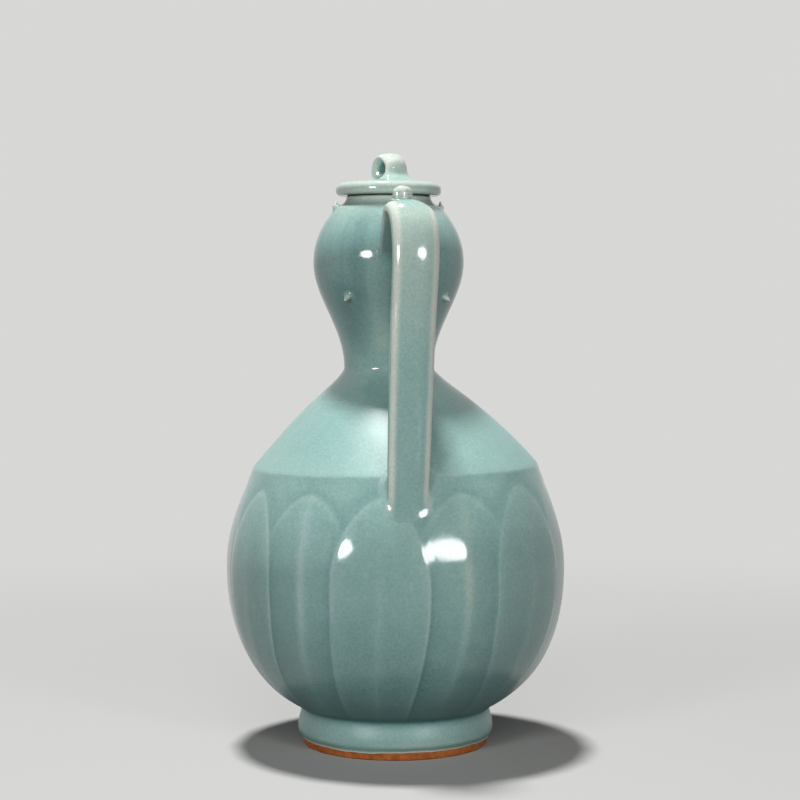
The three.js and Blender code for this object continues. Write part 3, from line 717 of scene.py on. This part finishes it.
def by_share(table, path):
    """A table's values at shares of a path's length, looked up by the place along it."""
    length = along(path)[-1]
    return lambda place: from_table(table, place / length)


def even_angles(sides):
    return np.arange(sides) * 2 * np.pi / sides


def strap_angles(sides):
    """Angles round a strap, closer together at the corners of its flat section."""
    return even_angles(sides) - 0.11 * np.sin(4 * even_angles(sides))


def strap_piece(name, strap, sides, spacing, start, end, tint, ground, where=POT_WHERE):
    """The mesh of a strap whose ends flow onto what carries them, with how pale its glaze and the ground's are."""
    angles = strap_angles(sides)
    first, low_rows, low_normals = root(strap, angles, at_end=False, **start)
    last, high_rows, high_normals = root(strap, angles, at_end=True, **end)
    shares = np.linspace(0, 1, max(4, int(strap.length / spacing)))
    grid = np.concatenate([low_rows[::-1], strap.rows(first, last, shares, angles), high_rows])
    normals = grid_normals(grid)
    normals[0], normals[-1] = low_normals, high_normals
    low, high = len(low_rows), len(high_rows)
    edge = 0.5 * bend_edge(grid, normals, 2) + tint(np.pad(shares, (low, high), mode="edge")[:, None], angles)
    edge[:low] += np.linspace(1, 0, low + 1)[:-1, None] ** 0.7 * (ground[0] - edge[:low])
    edge[-high:] += np.linspace(0, 1, high + 1)[1:, None] * (ground[1] - edge[-high:])
    edge = np.clip(edge, -1, 1)
    # Each end goes on into what carries it
    sunk = grid[[0, -1]] - 0.8 * normals[[0, -1]]
    grid = np.concatenate([sunk[:1], grid, sunk[1:]])
    normals = np.concatenate([normals[:1], normals, normals[-1:]])
    edge = np.pad(edge, ((1, 1), (0, 0)))
    return grid_piece(name, grid, normals, edge, caps=(0, -1), where=where)


# Handle

HANDLE_THICKNESS = 6.5
HANDLE_CORNER = 3.2
HANDLE_SIDES = 72
HANDLE_ARCH_HEIGHT = 269.4
HANDLE_TOP = HANDLE_ARCH_HEIGHT - HANDLE_THICKNESS / 2
HANDLE_ROOT_HEIGHT = 245.0
HANDLE_ROOT_RADIUS = outline_radius(HANDLE_ROOT_HEIGHT)
HANDLE_FOOT_HEIGHT = 124.0
HANDLE_FOOT_RADIUS = outline_radius(HANDLE_FOOT_HEIGHT - 1) - HANDLE_THICKNESS / 2
HANDLE_REACH = 68.5
HANDLE_ROOT_X = -2.2
HANDLE_TOP_X = 0.2
HANDLE_FOOT_X = -4.8
# By the share of the handle's length from its root. The ground is how pale its middle is: darker at the root as painted
# shade, and paler over the arch, partly thin glaze and partly painted light.
HANDLE_WIDTHS = ((0.0, 21.6), (0.15, 22.2), (0.3, 22.8), (0.45, 22.0), (0.75, 20.6), (1.0, 19.0))
HANDLE_CROWNS = ((0.0, 1.6), (0.14, 3.0), (0.26, 2.3), (0.4, 1.8), (0.6, 1.2), (1.0, 1.0))
HANDLE_GROUND_AND_SHADING = ((0, -0.15), (0.08, -0.1), (0.13, 0.15), (0.19, 0.62), (0.35, 0.36), (0.7, 0.08), (1, 0))


def handle_points():
    arch = HANDLE_REACH - HANDLE_ROOT_RADIUS
    points = [
        (HANDLE_ROOT_X, 12.5 - HANDLE_ROOT_RADIUS, HANDLE_ROOT_HEIGHT - 11),
        (HANDLE_ROOT_X, 4 - HANDLE_ROOT_RADIUS, HANDLE_ROOT_HEIGHT),
    ]
    for reach, drop in ((0.14, 10), (0.36, 1.8), (0.58, 0), (0.83, 5.6), (0.97, 18)):
        x = HANDLE_ROOT_X + (HANDLE_TOP_X - HANDLE_ROOT_X) * smoothstep(0.3, 1, reach)
        points.append((x, -(HANDLE_ROOT_RADIUS + reach * arch), HANDLE_TOP - drop))
    for out, down, aside in ((0, 0.2, 0.06), (0, 0.3, 0.2), (0.06, 0.4, 0.35), (0.3, 0.62, 0.6), (0.8, 0.87, 0.9)):
        points.append((
            HANDLE_TOP_X + (HANDLE_FOOT_X - HANDLE_TOP_X) * aside,
            -(HANDLE_REACH + (HANDLE_FOOT_RADIUS - HANDLE_REACH) * out),
            HANDLE_TOP + (HANDLE_FOOT_HEIGHT - HANDLE_TOP) * down,
        ))
    return points + [
        (HANDLE_FOOT_X, -HANDLE_FOOT_RADIUS, HANDLE_FOOT_HEIGHT),
        (HANDLE_FOOT_X, -HANDLE_FOOT_RADIUS - 0.1, HANDLE_FOOT_HEIGHT - 15),
    ]


handle_path = smooth_path(handle_points(), 0.5)
handle_crown = by_share(HANDLE_CROWNS, handle_path)
# The strap is turned a little towards the camera at its top, and lies along the belly at its foot
HANDLE_TURNS = ((0, 1),), ((0, 0.07), (0.6, 0.07), (1, -0.04)), ((0, -0.12), (0.6, -0.12), (1, -0.06))
handle_across = np.stack([by_share(table, handle_path)(along(handle_path)) for table in HANDLE_TURNS], 1)
handle_strap = Strap(handle_path, handle_across, flat_section(
    by_share(HANDLE_WIDTHS, handle_path), HANDLE_THICKNESS, HANDLE_CORNER, handle_crown,
))


def handle_glaze_and_shading(share, angle):
    """The handle's glaze is thin along its edges, with a painted dark line along its narrow sides and painted shade at
    its root, and it is paler towards its top, partly thin glaze and partly painted light.
    """
    away = np.abs(np.cos(angle)) ** (2 / HANDLE_CORNER)
    band = smoothstep(0.58, 0.84, away) * (0.62 + 0.35 * share) * (0.3 + 0.7 * smoothstep(0.05, 0.17, share))
    # Painted shade and painted dark reflection: a dark line along the strap's narrow sides
    band = band - 0.8 * smoothstep(0.955, 0.99, away) * smoothstep(0.1, 0.25, share)
    return from_table(HANDLE_GROUND_AND_SHADING, share) + band * smoothstep(1.04, 0.985, share)


# The handle's root flows furthest down the bulb, under its lower face
root_least = 1.2 + 6 * np.maximum(-np.sin(strap_angles(HANDLE_SIDES)), 0) ** 2
handle = strap_piece(
    "handle_strap_glazed", handle_strap, HANDLE_SIDES, 1.5, tint=handle_glaze_and_shading, ground=(-0.2, 0.08),
    start=dict(gap=pot_gap, size=2.0, least=root_least, most=np.maximum(root_least, 4)),
    end=dict(gap=pot_gap, size=6.0, least=4.4, most=8),
)


def arch_path(flat, turn, shift, spacing=0.15):
    """A path given as (depth, height) points in its own upright plane, turned about Z and moved."""
    c, s = heading(turn)
    return smooth_path([(-s * y + shift[0], c * y + shift[1], z + shift[2]) for y, z in flat], spacing)


# The cord ring on the handle's arch
RING_TURN = 12
RING_ASIDE = -3.1
RING_LINE = ((-2.6, -3.5), (-2.65, 2.3), (-1.9, 4.7), (-0.25, 5.2), (1.3, 4.5), (2.2, 2.1), (2.6, -3.5))
handle_crest = handle_path[handle_path[:, 2].argmax()]
ring_path = arch_path(RING_LINE, RING_TURN, (handle_crest[0] + RING_ASIDE, handle_crest[1], HANDLE_ARCH_HEIGHT))
ring_strap = Strap(
    ring_path, (*heading(RING_TURN), 0), flat_section(width=9.6, thickness=2.3, corner=2.3, crown=-1.7),
)
ring_end = dict(
    gap=handle_strap.box_gap(22.6, HANDLE_THICKNESS, 2.5, handle_crown), size=1.2, least=0.6, most=1.8, steps=5,
)
ring = strap_piece(
    "handle_ring_glazed", ring_strap, 40, 0.5, ground=(0.3, 0.3), start=ring_end, end=ring_end,
    tint=lambda share, angle: 0.6 + 0.5 * np.sin(23 * share + 3 * angle) * np.sin(17 * share - 5 * angle),
)


# Spout

SPOUT_ROOT_RADIUS = 15.0
SPOUT_TIP_RADIUS = 7.4
SPOUT_WALL = 3.0
SPOUT_ROOT_HEIGHT = 116.0
SPOUT_TIP_HEIGHT = 252.0
SPOUT_REACH = 124.0
SPOUT_SIDES = 64
SPOUT_LINE = ((0.05, 0.04), (0.42, 0.25), (0.56, 0.5), (0.7, 0.76), (1, 1))


def spout_points():
    root_radius = outline_radius(SPOUT_ROOT_HEIGHT)
    rise, run = SPOUT_TIP_HEIGHT - SPOUT_ROOT_HEIGHT, SPOUT_REACH - SPOUT_TIP_RADIUS - root_radius
    points = [(-LEAN, root_radius - SPOUT_ROOT_RADIUS, SPOUT_ROOT_HEIGHT - 0.08 * rise)]
    return points + [(-LEAN, root_radius + out * run, SPOUT_ROOT_HEIGHT + up * rise) for out, up in SPOUT_LINE]


spout_path = smooth_path(spout_points(), 0.5)
spout_length = along(spout_path)[-1]


def circle(radius, angle):
    return radius * np.cos(angle), radius * np.sin(angle)


def spout_section(place, angle):
    share = np.clip(place / spout_length, 0, 1)
    return circle(SPOUT_ROOT_RADIUS + (SPOUT_TIP_RADIUS - SPOUT_ROOT_RADIUS) * (1 - (1 - share) ** 2), angle)


spout_strap = Strap(spout_path, (1, 0, 0), spout_section)
spout_angles = even_angles(SPOUT_SIDES)
spout_first, spout_rows, spout_root_normals = root(
    spout_strap, spout_angles, pot_gap, at_end=False, size=9.0, least=5.0, most=12.0, steps=12,
)
outer_rows = spout_strap.rows(spout_first, spout_length - 1.2, np.linspace(0, 1, 110), spout_angles)
# The lip is half a ring round the wall's middle
lip_half = SPOUT_WALL / 2 - 0.25
tip_places = np.full(SPOUT_SIDES, spout_length)
lip_rows = []
for degrees in range(15, 180, 15):
    along_wall, lift = lip_half * heading(degrees)
    round_tip = spout_strap.beside(tip_places, *circle(SPOUT_TIP_RADIUS - lip_half + along_wall, spout_angles))
    lip_rows.append(round_tip + spout_strap.way[-1] * (lift - lip_half))
inner_rows = []
for place in np.linspace(spout_length - 1.5, spout_length * 0.2, 40):
    place = np.full(SPOUT_SIDES, place)
    a, b = spout_section(place, spout_angles)
    shrink = (np.hypot(a, b) - SPOUT_WALL + 0.3) / np.hypot(a, b)
    inner_rows.append(spout_strap.beside(place, a * shrink, b * shrink))
spout_grid = np.concatenate([spout_rows[::-1], outer_rows, lip_rows, inner_rows])
spout_normals = grid_normals(spout_grid)
spout_normals[0] = spout_root_normals
spout = grid_piece("spout_glazed", spout_grid, spout_normals, caps=(-1,))


# Petal tips: little points luted on the upper bulb

TIP_COUNT = 4


def petal_tip(name, turn, height, rise, droop, reach, radius):
    out, up = heading(rise) * reach
    flat = (
        (2.4, -1.0 + droop), (0.6, -0.3 + droop), (-out * 0.3, up * 0.3 + droop * 0.7),
        (-out * 0.7, up * 0.7 + droop * 0.3), (-out, up),
    )
    c, s = heading(turn)
    surface = outline_radius(height)
    path = arch_path(flat, turn, (s * surface + lean_at(height), -c * surface, height), 0.1)
    length = along(path)[-1]

    def section(place, angle):
        share = np.clip(place / length, 0, 1)
        size = radius * np.sqrt(np.maximum(1.001 - share**2.2, 0)) * (1 - 0.45 * share)
        return size * np.cos(angle), size * 0.85 * np.sin(angle)

    strap = Strap(path, (c, s, 0), section)
    angles = even_angles(28)
    first, rows, low_normals = root(
        strap, angles, pot_gap, at_end=False, size=2.2, least=1.0, most=2.4, steps=6, sink=0.02,
    )
    body = strap.rows(first, length, np.sin(np.linspace(0, np.pi / 2, 18)), angles)
    grid = np.concatenate([(rows[-1] - 0.5 * low_normals)[None], rows[::-1], body])
    normals = grid_normals(grid)
    normals[0] = normals[1] = low_normals
    edge = np.clip(bend_edge(grid, normals, 1), -0.2, 1)
    # Paler towards the point, as thin glaze and as painted light
    edge[-20:] = np.maximum(edge[-20:], np.linspace(0.3, 1.3, 20)[:, None])
    return grid_piece(name, grid, normals, edge, caps=(0, -1))


tips = []
for i in range(TIP_COUNT):
    step = i * 360 / TIP_COUNT
    for node, form in (
        (f"upper_petal_tip_{i + 1}", (3 + step, 267.1, 98, 0.0, 4.2, 2.5)),
        (f"lower_petal_tip_{i + 1}", (-43.5 + step, 222.5, -14, 1.2, 4.0, 2.7)),
    ):
        tips.append((petal_tip(f"{node}_glazed", *form), node))


# Lid, in its own frame with its seat at the origin

LID_WHERE = Vector((-LEAN, POT_Y, MOUTH.height))
LID_RADIUS = 26.2
LID_THICKNESS = 6.8
LID_CREST = LID_THICKNESS + 1.0
LID_EDGE_HEIGHT = 2.3
LID_SLOPE = 6.0
LID_FULLNESS = 2 / 2.7
low_turns = np.radians(np.linspace(-88, 0, 12))
high_turns = np.radians(np.linspace(2, 84, 22))
lid_rim = np.concatenate([
    np.stack([LID_RADIUS - LID_EDGE_HEIGHT * (1 - np.cos(low_turns)), LID_EDGE_HEIGHT * (1 + np.sin(low_turns))], 1),
    np.stack([
        LID_RADIUS - LID_SLOPE * (1 - np.cos(high_turns) ** LID_FULLNESS),
        LID_EDGE_HEIGHT + (LID_THICKNESS - LID_EDGE_HEIGHT) * np.sin(high_turns) ** LID_FULLNESS,
    ], 1),
])
lid_top = span(lid_rim[-1], 175, (8.5, LID_CREST), 178, (0.3, 0.3), 0.8)
lid_grid = ring_grid(np.vstack([[(0.5, 0), (14, 0), (20, 0)], lid_rim, lid_top[1:], [(0.5, LID_CREST)]]), 160)
lid_edge = 0.5 * bend_edge(lid_grid, grid_normals(lid_grid), 2) + 0.32
# Painted shadow: the glaze is made darkest under the rim, where the lid shades the mouth
lid_edge = lid_edge - 1.6 * (1 - smoothstep(0.0, 0.3, lid_grid[..., 2]))
plate = grid_piece("lid_plate_glazed", lid_grid, edge=lid_edge, caps=(0, -1), where=LID_WHERE)


def lid_gap(points):
    radius = np.hypot(points[..., 0], points[..., 1])
    return points[..., 2] - np.interp(radius, lid_top[::-1, 0], lid_top[::-1, 1])


# The loop's strap goes up in front and comes down behind. By the share of its length, it is thicker and rounder
# behind, and it is twisted as it goes over, so that its back leg faces further to the left.
LOOP_TURN = 24
LOOP_SHIFT = 1.6
LOOP_LINE = ((-5.25, -2), (-5.25, 5), (-4.7, 8.6), (-2.9, 10.5), (0.4, 11.5), (3.6, 9.2), (5.3, 4.6), (4.6, -2))
LOOP_TWISTS = ((0, LOOP_TURN), (0.34, LOOP_TURN), (0.7, -4), (1, -6))
# Widths, thicknesses, corners and crowns
LOOP_SIZES = (
    ((0, 12.4), (0.3, 12), (0.48, 12.2), (0.7, 14), (1, 14.4)),
    ((0, 3.8), (0.4, 3.7), (0.5, 3.8), (0.6, 5), (0.72, 6.8), (0.85, 7.6), (1, 7.6)),
    ((0, 2.8), (0.4, 2.6), (0.6, 2.0), (1, 2.0)),
    ((0, 0), (0.15, -0.3), (0.36, -1.4), (0.5, -0.8), (0.65, 0), (1, 0)),
)
loop_path = arch_path(LOOP_LINE, LOOP_TURN, (*LOOP_SHIFT * heading(LOOP_TURN), LID_CREST))
loop_twists = np.radians(by_share(LOOP_TWISTS, loop_path)(along(loop_path)))
loop_across = np.stack([np.cos(loop_twists), np.sin(loop_twists), 0 * loop_twists], 1)
loop_strap = Strap(loop_path, loop_across, flat_section(*(by_share(table, loop_path) for table in LOOP_SIZES)))


def loop_glaze_and_shade(share, angle):
    """The loop's glaze is thin outside, with painted shade inside, behind the front leg."""
    # Painted shade in the loop's hole, behind the front leg
    behind = smoothstep(-0.66, -0.36, np.cos(angle)) * smoothstep(0, 0.3, np.sin(angle))
    return 0.65 - 1.8 * behind * smoothstep(0.5, 0.62, share) * smoothstep(1.0, 0.9, share)


loop = strap_piece(
    "lid_loop_glazed", loop_strap, 56, 0.5, tint=loop_glaze_and_shade, ground=(0.25, 0.25),
    start=dict(gap=lid_gap, size=5.5, least=3.2, most=6.0, spread=1.6),
    end=dict(gap=lid_gap, size=3.0, least=1.5, most=4.5),
    where=LID_WHERE,
)

FLANGE_DEPTH = 8.0
flange_line = bent_line([
    (11.7, 0.0), (11.7, -FLANGE_DEPTH), (14.0, -FLANGE_DEPTH), (14.9, 1 - FLANGE_DEPTH), (14.9, 0.0), (13.0, 0.0),
], 22.4, 50)
flange = grid_piece("lid_flange_clay", ring_grid(flange_line), loop_rows=True, where=LID_WHERE)


# Materials


class Tree:
    """Short calls for making nodes."""

    def __init__(self, tree):
        self.tree = tree
        self.coords = tree.nodes.new("ShaderNodeTexCoord").outputs["Object"]

    def feed(self, node, inputs):
        """Gives each input of a node another node's output or a plain value."""
        for socket, source in inputs:
            if isinstance(source, bpy.types.NodeSocket):
                self.tree.links.new(source, node.inputs[socket])
            else:
                node.inputs[socket].default_value = source

    def node(self, kind, inputs=(), **values):
        made = self.tree.nodes.new("ShaderNode" + kind)
        for key, value in values.items():
            setattr(made, key, value)
        self.feed(made, inputs)
        return made

    def noise(self, scale, detail=2.0, roughness=0.5):
        inputs = [("Vector", self.coords), ("Scale", scale), ("Detail", detail), ("Roughness", roughness)]
        return self.node("TexNoise", inputs).outputs["Fac"]

    def attribute(self, name):
        return self.node("Attribute", attribute_name=name).outputs["Fac"]

    def math(self, operation, a, b=0.0, c=0.0):
        return self.node("Math", [(0, a), (1, b), (2, c)], operation=operation).outputs[0]

    def weighted(self, value, parts):
        """A value with (source, amount) parts added to it."""
        for source, amount in parts:
            value = self.math("ADD", value, self.math("MULTIPLY", source, amount))
        return value

    def ramp(self, value, stops):
        made = self.node("ValToRGB", [("Fac", value)])
        elements = made.color_ramp.elements
        while len(elements) < len(stops):
            elements.new(0.5)
        for element, (place, colour) in zip(elements, stops):
            element.position, element.color = place, colour
        return made.outputs["Color"]

    def mix(self, share, a, b):
        return self.node("Mix", [(0, share), (6, a), (7, b)], data_type="RGBA").outputs[2]

    def bump(self, height, strength, distance):
        inputs = [("Height", height), ("Strength", strength), ("Distance", distance)]
        return self.node("Bump", inputs).outputs["Normal"]


def new_material(name):
    made = bpy.data.materials.new(name)
    made.use_nodes = True
    made.node_tree.nodes.clear()
    return made, Tree(made.node_tree)


def shader_material(name):
    """A new material, its tree and its shader."""
    made, t = new_material(name)
    shader = t.node("BsdfPrincipled")
    t.node("OutputMaterial", [("Surface", shader.outputs["BSDF"])])
    return made, t, shader


def linear(r, g, b):
    """A colour as a screen shows it, 0 to 255, as the linear values a shader takes."""
    return tuple((v / 255 / 12.92) if v <= 10 else ((v / 255 + 0.055) / 1.055) ** 2.4 for v in (r, g, b)) + (1.0,)


# The glaze from where it lies deepest to where it is thinnest, and the clay
GLAZE_STOPS = [
    (0.08, linear(78, 116, 116)), (0.32, linear(104, 142, 139)), (0.52, linear(130, 165, 160)),
    (0.74, linear(166, 187, 177)), (0.98, linear(207, 210, 200)),
]
CLAY_STOPS = [(0.3, linear(116, 56, 22)), (0.5, linear(168, 92, 39)), (0.7, linear(196, 120, 58))]


def glaze_material():
    made, t, shader = shader_material("celadon_glaze")
    grain = t.noise(760, 3.0, 0.7)
    value = t.math("MULTIPLY_ADD", t.attribute("glaze_edge"), 0.42, 0.5)
    mottling = ((grain, 0.36), (t.noise(150), 0.1), (t.noise(28), 0.12), (t.noise(9, 1.0), 0.12))
    value = t.weighted(value, [(t.math("SUBTRACT", source, 0.5), amount) for source, amount in mottling])
    height = t.math("MULTIPLY", t.noise(1000, 1.0), 0.12)
    height = t.weighted(height, [(t.noise(300, 1.0), 0.22), (t.noise(90, 1.0), 0.66)])
    roughness = t.weighted(t.math("MULTIPLY_ADD", grain, 0.08, 0.065), [(t.attribute("dullness"), 0.3)])
    t.feed(shader, [
        ("Base Color", t.ramp(value, GLAZE_STOPS)), ("Normal", t.bump(height, 0.12, 0.0004)),
        ("Roughness", roughness), ("IOR", 1.5),
    ])
    return made


def clay_material():
    made, t, shader = shader_material("bare_clay")
    value = t.weighted(t.math("MULTIPLY", t.noise(260, 4.0, 0.6), 0.6), [(t.noise(40), 0.4)])
    t.feed(shader, [
        ("Base Color", t.ramp(value, CLAY_STOPS)), ("Normal", t.bump(t.noise(900, 3.0, 0.6), 0.5, 0.0003)),
        ("Roughness", 0.75),
    ])
    return made


GLAZED = ("glaze", glaze_material())
BARE = ("bare_clay", clay_material())
for body, (slot, material), pieces in (
    ("pot", GLAZED, [
        (foot, "foot_ring"), (belly, "belly"), (shoulder, "shoulder"), (bulb, "upper_bulb"),
        (collar, "mouth_collar"), (spout, "spout"), (handle, "handle_strap"), (ring, "handle_ring"), *tips,
    ]),
    ("pot", BARE, [(rest, "foot_ring")]),
    ("lid", GLAZED, [(plate, "lid_plate"), (loop, "lid_loop")]),
    ("lid", BARE, [(flange, "lid_flange")]),
):
    for piece, node in pieces:
        piece.data.materials.append(material)
        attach(piece, body)
        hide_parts(node)


# Camera, in the photograph's place

CAMERA_DISTANCE = 1000.0
CAMERA_HEIGHT = 220.0
CAMERA_PITCH = 2.75
CAMERA_ASIDE = 2.35
CAMERA_LENS = 90
CAMERA_SENSOR = 36

c, s = heading(PHOTO_AZIMUTH)
back, right = Vector((s, -c, 0)), Vector((c, s, 0))
camera = placed("camera", bpy.data.cameras.new("camera"))
scene.camera = camera
camera.data.lens = CAMERA_LENS
camera.data.sensor_width = CAMERA_SENSOR
camera.data.clip_start = 0.05
camera.location = (Vector((0, POT_Y, CAMERA_HEIGHT)) + back * CAMERA_DISTANCE + right * CAMERA_ASIDE) * MM
camera.rotation_euler = (math.radians(90 - CAMERA_PITCH), 0, math.radians(PHOTO_AZIMUTH))


# Lamps, placed round the pot by azimuth from the camera, elevation and distance in metres

AIM = Vector((0, POT_Y * MM, 0.15))


def lamp(name, turn, elevation, distance, width, height, strength):
    data = bpy.data.lights.new(name, "AREA")
    data.shape = "ELLIPSE"
    data.size, data.size_y = width, height
    data.energy = strength
    made = placed(name, data)
    (c, s), (level, up) = heading(PHOTO_AZIMUTH + turn), heading(elevation)
    way = Vector((s * level, -c * level, up))
    made.location = AIM + way * distance
    made.rotation_euler = way.to_track_quat("Z", "Y").to_euler()
    return made


lamp("left_softbox", -35, 13.4, 2.4, 0.72, 0.4, 21)
lamp("right_softbox", 34.5, 13.4, 2.4, 0.76, 0.42, 17)
lamp("overhead_softbox", -139, 81.3, 2.4, 0.32, 0.32, 81)
# The fill only softens the shadows, so the glaze does not mirror it
lamp("front_fill", 0, 30, 1.8, 0.9, 0.9, 7).visible_glossy = False


# Floor and background, in metres: pale to the camera and in reflections, and dark as light on the pot

PALE_GREY = (0.68, 0.68, 0.67, 1.0)
FLOOR_GREY = (0.42, 0.42, 0.41, 1.0)
FLOOR_SHADE = (0.06, 0.06, 0.06, 1.0)
WORLD_SHADE = (0.04, 0.04, 0.04, 1.0)
FLOOR_CORNERS = [(-8, -8, 0), (8, -8, 0), (8, 8, 0), (-8, 8, 0)]
FADE_START, FADE_END = 0.12, 0.8


def camera_or_shine(tree):
    rays = tree.node("LightPath")
    seen = tree.math("MAXIMUM", rays.outputs["Is Camera Ray"], rays.outputs["Is Glossy Ray"])
    return tree.math("MAXIMUM", seen, rays.outputs["Is Transmission Ray"])


world = bpy.data.worlds.new("studio")
scene.world = world
world.use_nodes = True
w = Tree(world.node_tree)
backdrop = w.mix(camera_or_shine(w), WORLD_SHADE, PALE_GREY)
w.feed(world.node_tree.nodes["Background"], [("Color", backdrop), ("Strength", 1.0)])

floor_mesh = bpy.data.meshes.new("floor")
floor_mesh.from_pydata(FLOOR_CORNERS, [], [(0, 1, 2, 3)])
floor = placed("floor", floor_mesh)
# The floor keeps the pot's shadow near it, and turns into the backdrop further out
floor_material, f = new_material("floor")
seen = camera_or_shine(f)
diffuse = f.node("BsdfDiffuse", [("Color", f.mix(seen, FLOOR_SHADE, FLOOR_GREY))])
glow = f.node("Emission", [("Color", PALE_GREY), ("Strength", 1.0)])
distance = f.node("VectorMath", [(0, f.coords)], operation="LENGTH").outputs["Value"]
share = f.node(
    "MapRange", [("Value", distance), ("From Min", FADE_START), ("From Max", FADE_END)],
    interpolation_type="SMOOTHSTEP",
)
far = f.math("MULTIPLY", share.outputs["Result"], seen)
both = f.node("MixShader", [(0, far), (1, diffuse.outputs[0]), (2, glow.outputs[0])])
f.node("OutputMaterial", [("Surface", both.outputs[0])])
floor_mesh.materials.append(floor_material)

scene.view_settings.view_transform = "Standard"
